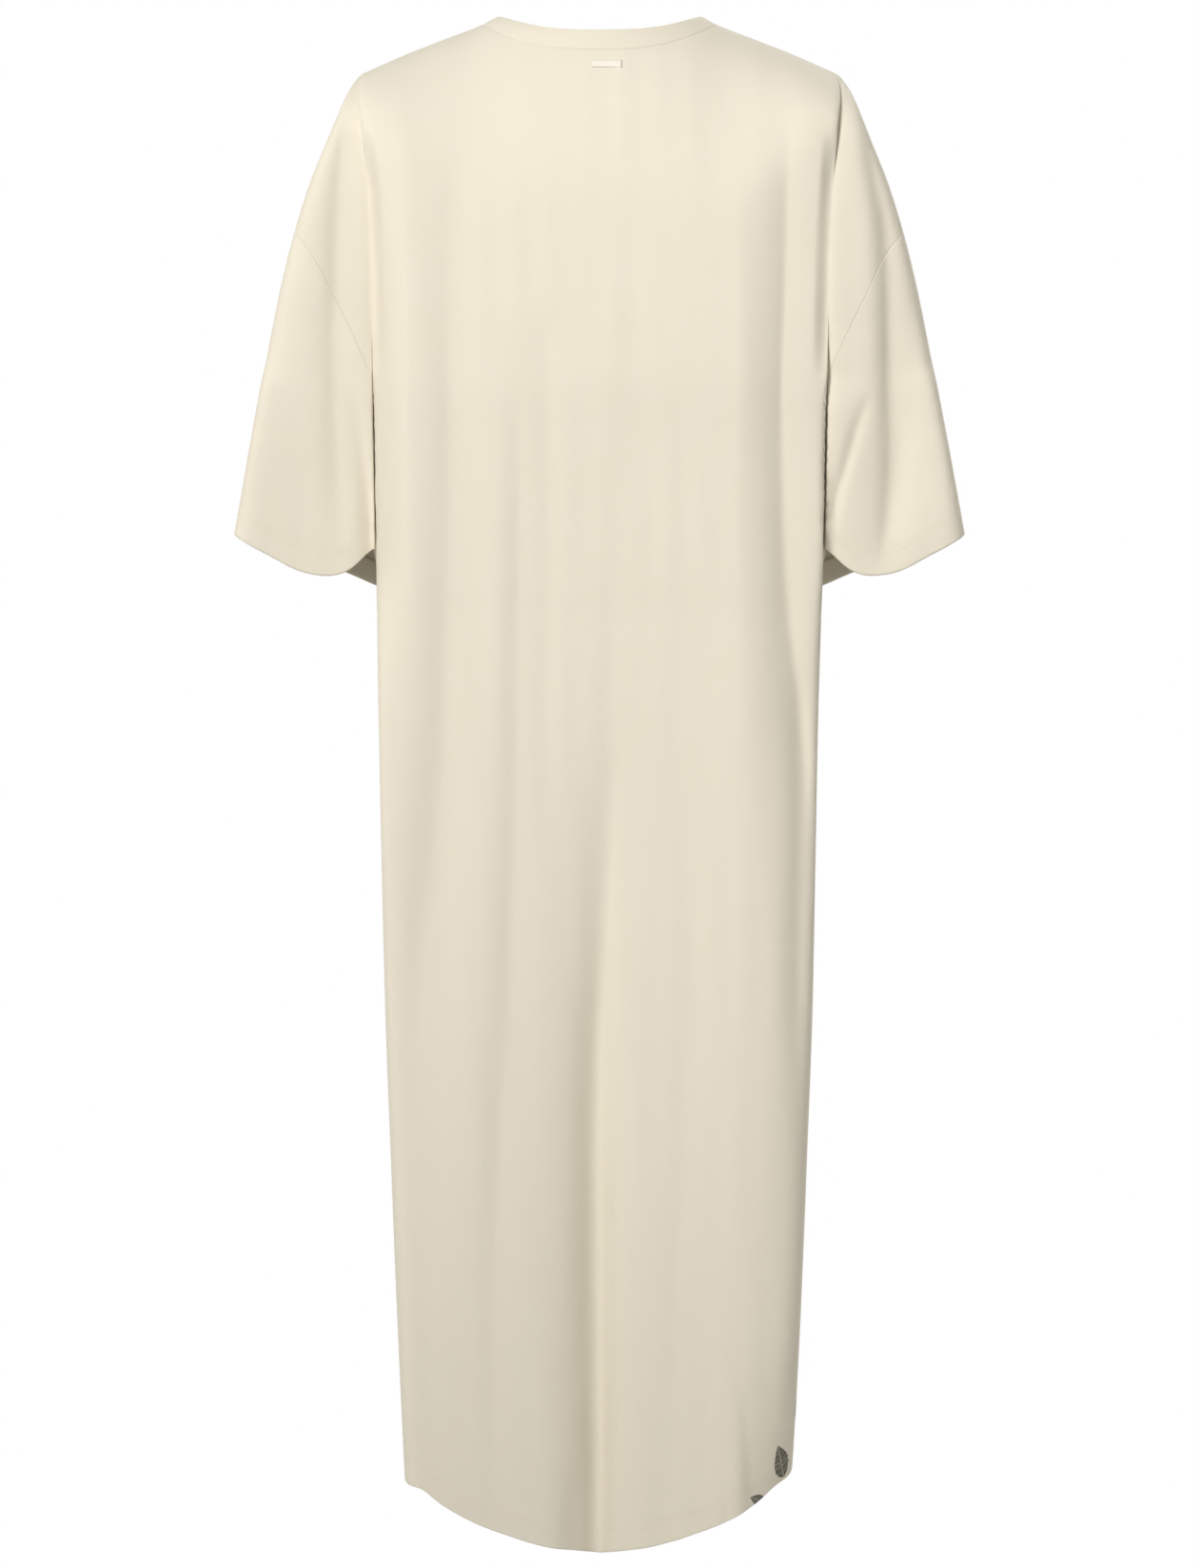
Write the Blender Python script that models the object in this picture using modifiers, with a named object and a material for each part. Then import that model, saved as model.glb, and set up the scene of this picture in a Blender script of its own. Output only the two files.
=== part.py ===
"""T-shirt dress: an oversized, mid-calf dress in cotton jersey, filled out as if worn.

Metres, +Z up, -Y the front, +X the wearer's left. The origin lies 3 mm above midway between the two
points where the shoulder seams meet the neckline, which is where a wearer's shoulders carry the dress.
A "drop" is a distance down from the origin's level.

The back and front panels run over the dropped shoulders to the armhole seams. Each is one body sheet
and two arm sheets, joined along the crease between body and arm. The sleeves go on from those seams.
"""

import math

import bmesh
import bpy
import numpy as np

COLLECTION_NAME = "tshirt_dress"


def table(names, *rows):
    """A table's columns, each as an array under its name."""
    return {name: np.array(values) for name, values in zip(names, zip(*rows))}


# Cloth and seams.
CLOTH_WALL = 0.0015
BAND_GAP = 0.0011  # across the neckband's seam; the walls' inner edges close it to about 0.3 mm
ARMHOLE_GAP = 0.0020  # down a sleeve, which is half as much across the slanting seam
UNDERARM_GAP = 0.0008  # from the crease to the sleeve at the underarm
SEAM_HALF_GAP = 0.00078  # from a panel's edge to the seam plane; the walls' inner edges come a little closer

# Neck opening, at the neckband's upper edge and at its seam.
NECK_HALF_WIDTH = 0.082
BAND_SEAM_HALF_WIDTH = 0.095
NECK_BACK_DROP = 0.0195
NECK_FRONT_DROP = 0.085
NECK_BACK_DEPTH = 0.062
NECK_FRONT_DEPTH = 0.070
NECK_BACK_FLATNESS = 2.6  # the back neckline is flat in the middle and climbs to the shoulders
NECK_FRONT_ROUNDNESS = 0.625
BAND_HEIGHT = 0.015

# Shoulders, armholes and hems.
SHOULDER_SLOPE = math.tan(math.radians(23.5))
NECK_DIP = 0.0034  # how much lower the shoulder line lies beside the neck
NECK_DIP_REACH = 0.160
BEND_DROP = 0.0586  # where the outline leaves the shoulder and turns down the arm
SEAM_OUTER_DROP = 0.174
UNDERARM_DROP = 0.290
CUFF_OUTER_DROP = 0.4140
CUFF_INNER_DROP = 0.4545
CUFF_CATCH = 0.022  # how far the back of the cuff is caught up, and the front let down, next to the body
CUFF_LET_DOWN = 0.014
CUFF_CATCH_REACH = 0.13
SLEEVE_CLEARANCE = 0.0018  # from the crease out to the sleeve's inner wall
SLEEVE_CLEAR_REACH = 0.040  # how far below the underarm the sleeve takes to get there
HEM_FOLD_SAG = 0.35  # where a fold presses the hem in, it also hangs lower by this share

# How quickly the cloth rounds over from the shoulder line, near the neck and out at the tip.
ROUND_OVER_NECK = 0.165
ROUND_OVER_TIP = 0.055
ROUND_OVER_TIP_X = 0.200
ARM_POWER = 7.0  # the arm's section on its outer half: 2 is an ellipse
ARM_INNER_POWER = 70.0  # squarer next to the body, which the sleeve lies against
CREASE_REACH = 0.019  # above the underarm the body meets the crease in a soft slope this wide
CREASE_SOFTENS, CREASE_SOFT, CREASE_SQUARES = 0.090, 0.140, 0.235
FLANK_SHAPE = 1.6  # 1 falls straight; above it the flank steepens outwards
SLOPE_SHARPNESS = 1.8  # a fold's slope has all but flattened at its width
SEAM_STIFFNESS = 6  # the higher, the nearer a seam the folds run before it holds them flat
MOST_PRESSED = 0.8  # a fold never presses the cloth in past this share of its depth

# Grid counts: coarse, because the collision body needs the form and not the weave.
NECK_CELLS = 6
SHOULDER_CELLS = 7
ARM_CELLS = 8
UPPER_CELLS = 12
LOWER_CELLS = 14
LOWER_CROWDING = 1.25  # above 1, the rows crowd towards the underarm
SLEEVE_CELLS = 8
BAND_CELLS = 2
WELD = 0.00002
ON_EDGE = 1e-9

# Back neck bar.
BAR_WIDTH = 0.023
BAR_HEIGHT = 0.005
BAR_WALL = 0.001
BAR_LIFT = 0.0003
BAR_MIDDLE_X = -0.006
BAR_MIDDLE_DROP = 0.046
BAR_COLUMNS = 8
BAR_ROWS = 2
BAR_FROM_DEPTH = 0.13  # clear behind the back, from where the bar is brought onto it

BACK, FRONT = 1, -1
LEFT, RIGHT = 1, -1

# The body, section by section: how far the crease or side seam is from the middle, how deep the cloth
# stands behind and before the shoulder line, and how square the section is, where 2 is an ellipse.
BODY = table(
    ("drop", "half_width", "back_depth", "front_depth", "squareness"),
    (0.000, 0.1900, 0.098, 0.082, 2.6),
    (0.060, 0.1900, 0.103, 0.086, 3.2),
    (0.100, 0.1860, 0.106, 0.096, 4.8),
    (0.130, 0.1838, 0.109, 0.104, 9.0),
    (0.165, 0.1820, 0.111, 0.114, 17.0),
    (0.200, 0.1810, 0.112, 0.123, 28.0),
    (0.250, 0.1803, 0.113, 0.129, 46.0),
    (0.290, 0.1800, 0.113, 0.132, 80.0),
    (0.330, 0.1796, 0.111, 0.133, 90.0),
    (0.400, 0.1794, 0.108, 0.130, 80.0),
    (0.455, 0.1792, 0.106, 0.126, 50.0),
    (0.480, 0.1789, 0.105, 0.124, 32.0),
    (0.600, 0.1778, 0.105, 0.118, 20.0),
    (0.780, 0.1768, 0.107, 0.114, 11.0),
    (0.950, 0.1727, 0.112, 0.115, 9.0),
    (1.100, 0.1676, 0.117, 0.117, 10.0),
    (1.260, 0.1618, 0.122, 0.120, 9.0),
)

# Each flank's fall, on its way out to the arm or side: where it starts, where it ends, and how much
# further in the cloth is from there on.
FLANK_COLUMNS = ("drop", "start", "end", "fall")
FLANKS = {
    (BACK, RIGHT): table(
        FLANK_COLUMNS,
        (0.08, 0.104, 0.148, 0.002),
        (0.13, 0.106, 0.146, 0.009),
        (0.20, 0.107, 0.145, 0.0145),
        (0.30, 0.108, 0.143, 0.0165),
        (0.40, 0.110, 0.146, 0.018),
        (0.48, 0.112, 0.152, 0.0215),
        (0.56, 0.112, 0.163, 0.026),
        (0.67, 0.112, 0.171, 0.019),
        (0.85, 0.110, 0.171, 0.012),
        (1.05, 0.106, 0.168, 0.012),
        (1.14, 0.110, 0.158, 0.019),
        (1.26, 0.111, 0.150, 0.040),
    ),
    (BACK, LEFT): table(
        FLANK_COLUMNS,
        (0.08, 0.148, 0.186, 0.002),
        (0.15, 0.148, 0.184, 0.016),
        (0.25, 0.148, 0.182, 0.027),
        (0.42, 0.148, 0.180, 0.024),
        (0.55, 0.148, 0.180, 0.005),
        (0.65, 0.148, 0.180, 0.000),
    ),
    (FRONT, RIGHT): table(
        FLANK_COLUMNS,
        (0.08, 0.092, 0.156, 0.002),
        (0.14, 0.096, 0.158, 0.014),
        (0.25, 0.096, 0.158, 0.030),
        (0.42, 0.098, 0.160, 0.034),
        (0.58, 0.104, 0.170, 0.014),
        (0.75, 0.110, 0.176, 0.004),
    ),
    (FRONT, LEFT): table(
        FLANK_COLUMNS,
        (0.08, 0.100, 0.160, 0.002),
        (0.14, 0.104, 0.162, 0.016),
        (0.25, 0.102, 0.162, 0.032),
        (0.42, 0.100, 0.164, 0.032),
        (0.60, 0.108, 0.172, 0.010),
        (0.72, 0.112, 0.176, 0.004),
    ),
}

# The hem's line, from the middle of a panel out to its side seam.
HEM = table(
    ("share", "drop"),
    (0.00, 1.2540),
    (0.25, 1.2485),
    (0.50, 1.2360),
    (0.68, 1.2235),
    (0.80, 1.2120),
    (0.92, 1.2000),
    (1.00, 1.2010),
)

# The arm: how deep its cloth stands either side of the shoulder line, and how deep the bottom of the
# crease between arm and body still stands.
ARM = table(
    ("drop", "half_depth", "crease_depth"),
    (0.000, 0.060, 0.059),
    (0.060, 0.074, 0.076),
    (0.110, 0.083, 0.086),
    (0.160, 0.087, 0.090),
    (0.210, 0.088, 0.090),
    (0.250, 0.088, 0.088),
    (0.275, 0.087, 0.078),
    (0.286, 0.086, 0.036),
    (0.290, 0.086, 0.0013),
    (0.330, 0.083, 0.0005),
    (0.380, 0.077, 0.0000),
    (0.460, 0.068, 0.0000),
)

# The outline from the neck along the shoulder and down the sleeve.
OUTLINE = table(
    ("x", "drop"),
    (0.0820, 0.0000),
    (0.1900, 0.0470),
    (0.1968, 0.0531),
    (0.2012, 0.0666),
    (0.2114, 0.0937),
    (0.2305, 0.1391),
    (0.2500, 0.2001),
    (0.2676, 0.2769),
    (0.2972, 0.4186),
    (0.3058, 0.4600),
)

# The armhole seam, from the underarm out to the outline.
ARMHOLE = table(
    ("share", "drop"),
    (0.00, UNDERARM_DROP),
    (0.25, 0.254),
    (0.50, 0.222),
    (0.75, 0.192),
    (1.00, SEAM_OUTER_DROP),
)

# The cuff, from the side next to the body out to the outline.
CUFF = table(
    ("share", "drop"),
    (0.00, CUFF_INNER_DROP),
    (0.25, 0.4505),
    (0.50, 0.4443),
    (0.75, 0.4297),
    (1.00, CUFF_OUTER_DROP),
)

# Main folds. Each is a trough along a path through three points, with its slopes' widths towards the
# wearer's left and right. It starts and ends over its fades; one that runs off the hem has hardly any.
FOLDS = table(
    ("side", "start_drop", "end_drop", "start_x", "middle_x", "end_x",
     "start_depth", "end_depth", "left_width", "right_width", "fade_in", "fade_out"),
    (BACK, 0.280, 1.290, -0.012, -0.006, 0.002, 0.006, 0.026, 0.046, 0.120, 0.300, 0.005),
    (BACK, 0.100, 1.290, 0.115, 0.131, 0.138, 0.007, 0.004, 0.022, 0.045, 0.140, 0.005),
    (BACK, 0.240, 1.290, 0.062, 0.070, 0.087, 0.008, 0.002, 0.018, 0.050, 0.160, 0.005),
    (BACK, 0.520, 0.960, -0.160, -0.164, -0.166, 0.005, 0.005, 0.012, 0.012, 0.120, 0.160),
    (BACK, 1.080, 1.290, -0.114, -0.119, -0.121, 0.003, 0.005, 0.008, 0.030, 0.080, 0.005),
    (BACK, 0.050, 0.450, -0.222, -0.250, -0.236, 0.015, 0.015, 0.026, 0.050, 0.120, 0.100),
    (BACK, 0.075, 0.440, 0.205, 0.211, 0.204, 0.006, 0.005, 0.012, 0.030, 0.080, 0.080),
    (FRONT, 0.330, 1.290, 0.052, 0.040, 0.046, 0.005, 0.022, 0.018, 0.046, 0.240, 0.005),
    (FRONT, 0.360, 1.290, -0.070, -0.084, -0.078, 0.004, 0.018, 0.040, 0.018, 0.260, 0.005),
    (FRONT, 0.130, 0.720, -0.138, -0.124, -0.166, 0.005, 0.010, 0.012, 0.030, 0.120, 0.120),
    (FRONT, 0.140, 0.640, 0.136, 0.120, 0.168, 0.004, 0.010, 0.030, 0.012, 0.120, 0.120),
    (FRONT, 0.900, 1.290, 0.118, 0.126, 0.130, 0.004, 0.010, 0.020, 0.030, 0.140, 0.005),
    (FRONT, 0.070, 0.420, -0.206, -0.222, -0.224, 0.004, 0.008, 0.010, 0.018, 0.120, 0.060),
    (FRONT, 0.080, 0.420, 0.206, 0.220, 0.226, 0.004, 0.009, 0.018, 0.010, 0.120, 0.070),
)

CREAM = (0.80, 0.755, 0.625, 1.0)
LIGHT_CREAM = (0.86, 0.83, 0.73, 1.0)


def smooth_through(at, stations, values):
    """A smooth curve through a table's values that never overshoots them."""
    steps = np.diff(stations)
    slopes = np.diff(values) / steps
    before, after = slopes[:-1], slopes[1:]
    level = before * after <= 0
    safe_before = np.where(level, 1.0, before)
    safe_after = np.where(level, 1.0, after)
    inner = np.where(level, 0.0, 2 / (1 / safe_before + 1 / safe_after))
    tangents = np.concatenate([slopes[:1], inner, slopes[-1:]])
    at = np.clip(at, stations[0], stations[-1])
    row = np.clip(np.searchsorted(stations, at) - 1, 0, len(steps) - 1)
    t = (at - stations[row]) / steps[row]
    return (
        values[row] * (1 + 2 * t) * (1 - t) ** 2
        + tangents[row] * steps[row] * t * (1 - t) ** 2
        + values[row + 1] * t**2 * (3 - 2 * t)
        + tangents[row + 1] * steps[row] * t**2 * (t - 1)
    )


def ease(value, low, high):
    """From 0 at low to 1 at high, smoothly."""
    t = np.clip((value - low) / (high - low), 0, 1)
    return t * t * (3 - 2 * t)


def body_section(drop, name):
    return smooth_through(drop, BODY["drop"], BODY[name])


def arm_section(drop, name):
    return smooth_through(drop, ARM["drop"], ARM[name])


def outline_x(drop):
    """How far out the shoulder and sleeve reach at a drop."""
    return smooth_through(drop, OUTLINE["drop"], OUTLINE["x"])


def armhole_drop(share):
    """The armhole seam's drop, from 0 at the underarm to 1 at the outline."""
    return smooth_through(share, ARMHOLE["share"], ARMHOLE["drop"])


def seam_line_drop(x):
    """The shoulder seam's line, which is straight but for a dip beside the neck."""
    dip = NECK_DIP * (1 - ease(x, NECK_HALF_WIDTH, NECK_DIP_REACH))
    return (x - NECK_HALF_WIDTH) * SHOULDER_SLOPE + dip


def shoulder_drop(x):
    """The shoulder line: straight along the seam and on past the tip, and arched over the neck opening."""
    x = np.abs(x)
    arch = 0.5 * SHOULDER_SLOPE * (BAND_SEAM_HALF_WIDTH - x**2 / BAND_SEAM_HALF_WIDTH)
    over_neck = seam_line_drop(BAND_SEAM_HALF_WIDTH) - arch
    return np.where(x < BAND_SEAM_HALF_WIDTH, over_neck, seam_line_drop(x))


def neck_drop(x, half_width, facing, seam):
    """The neckline's drop, on the band's upper edge where seam is 0 and on its seam where it is 1."""
    across = np.clip(np.abs(x) / half_width, 0, 1)
    side = seam_line_drop(half_width)
    if facing == BACK:
        middle = NECK_BACK_DROP + BAND_HEIGHT * seam
        return middle + (side - middle) * across**NECK_BACK_FLATNESS
    middle = NECK_FRONT_DROP + BAND_HEIGHT * seam
    return side + (middle - side) * (1 - across**2) ** NECK_FRONT_ROUNDNESS


def panel_top_drop(x, facing):
    """Where a panel starts: at the neck seam, and past it at the shoulder seam."""
    neck = neck_drop(x, BAND_SEAM_HALF_WIDTH, facing, 1)
    return np.where(np.abs(x) < BAND_SEAM_HALF_WIDTH, neck, shoulder_drop(x))


def round_over(x, drop):
    """How much of its full depth the cloth has at this distance below the shoulder line, 0 to 1."""
    out = ease(np.abs(x), NECK_HALF_WIDTH, ROUND_OVER_TIP_X)
    reach = ROUND_OVER_NECK + (ROUND_OVER_TIP - ROUND_OVER_NECK) * out
    rest = np.clip(1 - (drop - shoulder_drop(x)) / reach, 0, 1)
    return np.sqrt(1 - rest**2)


def rounded(depth, x, drop):
    """A depth brought to the seam plane at the shoulder line."""
    return SEAM_HALF_GAP + np.maximum(depth - SEAM_HALF_GAP, 0) * round_over(x, drop)


def flank_fall(x, drop, facing):
    """How far the cloth falls back on its way out to the arms and sides, from the middle's level."""
    total = np.zeros_like(x)
    for hand in (LEFT, RIGHT):
        flank = FLANKS[facing, hand]
        start, end, fall = (smooth_through(drop, flank["drop"], flank[name]) for name in FLANK_COLUMNS[1:])
        total += fall * np.clip((hand * x - start) / (end - start), 0, 1) ** FLANK_SHAPE
    return total


def body_depth(share, drop, facing):
    """Depth of the body's cloth: share runs from 0 in the middle to 1 at the crease or side seam."""
    full = body_section(drop, "back_depth" if facing == BACK else "front_depth")
    crease = np.maximum(arm_section(drop, "crease_depth"), SEAM_HALF_GAP)
    power = body_section(drop, "squareness")
    square = (1 - np.clip(np.abs(share), 0, 1) ** power) ** (1 / power)
    half_width = body_section(drop, "half_width")
    x = -facing * share * half_width
    soft = 1 - ease(np.abs(x) - half_width, -CREASE_REACH, 0)
    softness = ease(drop, CREASE_SOFTENS, CREASE_SOFT) * (1 - ease(drop, CREASE_SQUARES, UNDERARM_DROP))
    bow = square + (soft - square) * softness
    full = full - flank_fall(x, drop, facing)
    return rounded(crease + (full - crease) * bow, x, drop)


def arm_depth(x, drop):
    """Depth of the arm's cloth, out from the crease to the outline."""
    inner = body_section(drop, "half_width")
    inner = np.where(drop > UNDERARM_DROP, sleeve_inner_x(drop), inner)
    share = (x - inner) / (outline_x(drop) - inner)
    share = np.where(share > 1 - ON_EDGE, 1, np.maximum(share, 0))
    crease = arm_section(drop, "crease_depth")
    fall = (1 - share**ARM_POWER) ** (1 / ARM_POWER)
    power = np.where(share < 0.5, ARM_INNER_POWER, ARM_POWER)
    swell = (1 - np.abs(2 * share - 1) ** power) ** (1 / power)
    fall_in_middle = (1 - 0.5**ARM_POWER) ** (1 / ARM_POWER)
    above_fall = np.maximum(arm_section(drop, "half_depth") - crease * fall_in_middle, 0)
    return rounded(crease * fall + above_fall * swell, x, drop)


def sleeve_inner_x(drop):
    """The sleeve's wall next to the body, just clear of it."""
    crease_x = body_section(np.full_like(drop, UNDERARM_DROP), "half_width")
    clear = ease(drop, UNDERARM_DROP, UNDERARM_DROP + SLEEVE_CLEAR_REACH)
    return crease_x + UNDERARM_GAP + (SLEEVE_CLEARANCE - UNDERARM_GAP) * clear


def fold_depth(x, drop, facing):
    """How far the folds press the cloth in at a point."""
    total = np.zeros_like(x)
    for row in np.flatnonzero(FOLDS["side"] == facing):
        fold = {name: values[row] for name, values in FOLDS.items()}
        t = np.clip((drop - fold["start_drop"]) / (fold["end_drop"] - fold["start_drop"]), 0, 1)
        path = (
            fold["start_x"] * (1 - t) * (1 - 2 * t)
            + fold["middle_x"] * 4 * t * (1 - t)
            + fold["end_x"] * t * (2 * t - 1)
        )
        depth = fold["start_depth"] + (fold["end_depth"] - fold["start_depth"]) * t
        depth = depth * ease(drop, fold["start_drop"], fold["start_drop"] + fold["fade_in"])
        depth = depth * (1 - ease(drop, fold["end_drop"] - fold["fade_out"], fold["end_drop"]))
        width = np.where(x > path, fold["left_width"], fold["right_width"])
        total += depth / np.cosh(SLOPE_SHARPNESS * (x - path) / width)
    return total


def press_folds(points, facing, seam_share):
    """Moves points in towards the middle plane by the folds, and not at all at a seam."""
    fold = fold_depth(points[:, 0], -points[:, 2], facing)
    fold = np.minimum(fold * (1 - seam_share**SEAM_STIFFNESS), MOST_PRESSED * np.abs(points[:, 1]))
    points[:, 1] -= np.sign(points[:, 1]) * fold
    return points


def column_share(u, down):
    """How far out a body column lies, 0 to 1: even round the neck at the top, even round the body below."""
    count = NECK_CELLS + SHOULDER_CELLS
    place = np.abs(u) * count
    neck_share = BAND_SEAM_HALF_WIDTH / BODY["half_width"][0]
    at_neck = neck_share * np.sin(0.5 * math.pi * np.minimum(place / NECK_CELLS, 1))
    past_neck = np.clip((place - NECK_CELLS) / SHOULDER_CELLS, 0, 1)
    at_shoulder = neck_share + (1 - neck_share) * np.sin(0.5 * math.pi * past_neck)
    top = np.where(place <= NECK_CELLS, at_neck, at_shoulder)
    below = np.sin(0.5 * math.pi * np.abs(u))
    return np.sign(u) * (top + (below - top) * ease(down, 0.0, 1.0))


def crease_down(row):
    """The share of the way down to the underarm at a row, closer together near the shoulder."""
    return 1 - np.cos(0.5 * math.pi * row / UPPER_CELLS)


def body_points(u, v, facing):
    """The body sheet: u from -1 to 1 across as seen from outside, v from 0 at the top to 1 at the hem."""
    row = v * (UPPER_CELLS + LOWER_CELLS)
    upper = np.clip(crease_down(np.minimum(row, UPPER_CELLS)), 0, 1)
    lower = np.clip((row - UPPER_CELLS) / LOWER_CELLS, 0, 1) ** LOWER_CROWDING
    share = column_share(u, upper)
    top_x = share * BODY["half_width"][0]
    top = panel_top_drop(top_x, facing)
    hem = smooth_through(np.abs(share), HEM["share"], HEM["drop"])
    hem_x = -facing * share * body_section(hem, "half_width")
    pressed_in = fold_depth(hem_x, hem, facing) + flank_fall(hem_x, hem, facing)
    hem = hem + HEM_FOLD_SAG * pressed_in * (1 - share**SEAM_STIFFNESS)
    upper_drop = top + (UNDERARM_DROP - top) * upper
    lower_drop = UNDERARM_DROP + (hem - UNDERARM_DROP) * lower
    drop = np.where(lower > 0, lower_drop, upper_drop)
    x = share * body_section(drop, "half_width")
    points = np.column_stack([-facing * x, facing * body_depth(share, drop, facing), -drop])
    return press_folds(points, facing, np.abs(share))


def arm_points(u, v, facing, hand):
    """An arm sheet, from the crease out to the outline and from the shoulder seam to the armhole."""
    outer_is_seen_right = -facing * hand
    out = (1 + outer_is_seen_right * u) / 2
    share = (1 - np.cos(math.pi * out)) / 2
    inner_down = crease_down(v * UPPER_CELLS)
    outer_down = (inner_down + v) / 2
    crease_x = np.full_like(share, BODY["half_width"][0])
    crease_drop = shoulder_drop(crease_x)
    bend_x = outline_x(np.full_like(share, BEND_DROP))
    inner_drop = crease_drop + (UNDERARM_DROP - crease_drop) * inner_down
    inner_x = body_section(inner_drop, "half_width")
    outer_drop = BEND_DROP + (SEAM_OUTER_DROP - BEND_DROP) * outer_down
    outer_x = outline_x(outer_drop)
    tip_x = outline_x(crease_drop + (BEND_DROP - crease_drop) * share)
    tip_bow = tip_x - crease_x - (bend_x - crease_x) * share
    straight_armhole = UNDERARM_DROP + (SEAM_OUTER_DROP - UNDERARM_DROP) * share
    x = inner_x + (outer_x - inner_x) * share + tip_bow * (1 - v)
    drop = inner_drop + (outer_drop - inner_drop) * share + (armhole_drop(share) - straight_armhole) * v
    points = np.column_stack([hand * x, facing * arm_depth(x, drop), -drop])
    return press_folds(points, facing, np.abs(2 * share - 1))


def sleeve_points(u, v, hand):
    """A sleeve tube: u goes all round from the line next to the body, v from the armhole to the cuff."""
    turn = math.pi * u
    share = (1 + np.cos(turn)) / 2
    seam_inner = sleeve_inner_x(np.full_like(share, UNDERARM_DROP))
    seam_outer = outline_x(np.full_like(share, SEAM_OUTER_DROP))
    seam_x = seam_inner + (seam_outer - seam_inner) * share
    seam_drop = armhole_drop(share) + ARMHOLE_GAP
    cuff_inner = sleeve_inner_x(np.full_like(share, CUFF_INNER_DROP))
    cuff_outer = outline_x(np.full_like(share, CUFF_OUTER_DROP))
    cuff_x = cuff_inner + (cuff_outer - cuff_inner) * share
    edge_share = np.abs(2 * share - 1)
    side = np.where(edge_share > 1 - ON_EDGE, 0, np.sign(np.sin(turn)) * hand)
    moved = np.where(side == BACK, -CUFF_CATCH, CUFF_LET_DOWN) * np.abs(side)
    moved = moved * np.exp(-((share / CUFF_CATCH_REACH) ** 1.5))
    cuff_drop = smooth_through(share, CUFF["share"], CUFF["drop"]) + moved
    drop = seam_drop + (cuff_drop - seam_drop) * v
    inner_line = sleeve_inner_x(UNDERARM_DROP + (CUFF_INNER_DROP - UNDERARM_DROP) * v)
    outer_line = outline_x(SEAM_OUTER_DROP + (CUFF_OUTER_DROP - SEAM_OUTER_DROP) * v)
    inner_bow = inner_line - seam_inner - (cuff_inner - seam_inner) * v
    outer_bow = outer_line - seam_outer - (cuff_outer - seam_outer) * v
    x = seam_x + (cuff_x - seam_x) * v + inner_bow * (1 - share) ** 2 + outer_bow * share**2
    points = np.column_stack([hand * x, side * arm_depth(x, drop), -drop])
    for facing in (BACK, FRONT):
        here = side == facing
        points[here] = press_folds(points[here], facing, edge_share[here])
    return points


def band_points(u, v):
    """The neckband: u goes all round from the back's middle, v from the upper edge to the seam."""
    angle = math.pi * u
    seam = v * (1 - BAND_GAP / BAND_HEIGHT)
    side = np.sin(angle)
    points = np.zeros((len(u), 3))
    for facing, neck_depth in ((BACK, NECK_BACK_DEPTH), (FRONT, NECK_FRONT_DEPTH)):
        here = -np.cos(angle) * facing >= 0
        across, towards, sewn = side[here], np.abs(np.cos(angle[here])), seam[here]
        upper_x, seam_x = NECK_HALF_WIDTH * across, BAND_SEAM_HALF_WIDTH * across
        upper_drop = neck_drop(upper_x, NECK_HALF_WIDTH, facing, 0)
        seam_drop = neck_drop(seam_x, BAND_SEAM_HALF_WIDTH, facing, 1)
        seam_share = np.abs(seam_x) / BODY["half_width"][0]
        seam_depth = body_depth(seam_share, seam_drop, facing) - SEAM_HALF_GAP
        upper = np.column_stack([upper_x, facing * neck_depth * towards, -upper_drop])
        lower = np.column_stack([seam_x, facing * seam_depth, -seam_drop])
        points[here] = upper + (lower - upper) * sewn[:, None]
    return points


def add_grid(mesh, columns, rows, place):
    """Adds a grid and moves each of its points to where place puts it."""
    made = bmesh.ops.create_grid(mesh, x_segments=columns, y_segments=rows, size=1)
    across = np.array([vertex.co.x for vertex in made["verts"]])
    down = np.array([(1 - vertex.co.y) / 2 for vertex in made["verts"]])
    for vertex, point in zip(made["verts"], place(across, down)):
        vertex.co = point


def fabric(name, colour, roughness):
    material = bpy.data.materials.new(name)
    material.use_nodes = True
    shader = material.node_tree.nodes["Principled BSDF"]
    shader.inputs["Base Color"].default_value = colour
    shader.inputs["Roughness"].default_value = roughness
    shader.inputs["Metallic"].default_value = 0.0
    return material


def cloth_piece(collection, name, grids, material):
    """A named piece of cloth: its grids joined into one open sheet, with a wall behind it."""
    mesh = bmesh.new()
    for columns, rows, place in grids:
        add_grid(mesh, columns, rows, place)
    bmesh.ops.remove_doubles(mesh, verts=mesh.verts, dist=WELD)
    data = bpy.data.meshes.new(name)
    mesh.to_mesh(data)
    mesh.free()
    data.shade_smooth()
    data.materials.append(material)
    piece = bpy.data.objects.new(name, data)
    collection.objects.link(piece)
    shell = piece.modifiers.new("Wall", "SOLIDIFY")
    shell.thickness = CLOTH_WALL
    shell.offset = -1
    return piece


def panel(collection, name, facing, material):
    """A back or front: the body sheet and the two arm sheets welded to it along the creases."""
    body_columns = 2 * (NECK_CELLS + SHOULDER_CELLS)
    grids = [(body_columns, UPPER_CELLS + LOWER_CELLS, lambda u, v: body_points(u, v, facing))]
    for hand in (LEFT, RIGHT):
        grids.append(
            (ARM_CELLS, UPPER_CELLS, lambda u, v, hand=hand: arm_points(u, v, facing, hand))
        )
    return cloth_piece(collection, name, grids, material)


def sleeve(collection, name, hand, material):
    tube = (2 * ARM_CELLS, SLEEVE_CELLS, lambda u, v: sleeve_points(u, v, hand))
    return cloth_piece(collection, name, [tube], material)


def neckband(collection, material):
    ring = (4 * NECK_CELLS, BAND_CELLS, band_points)
    return cloth_piece(collection, "neckband", [ring], material)


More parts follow.
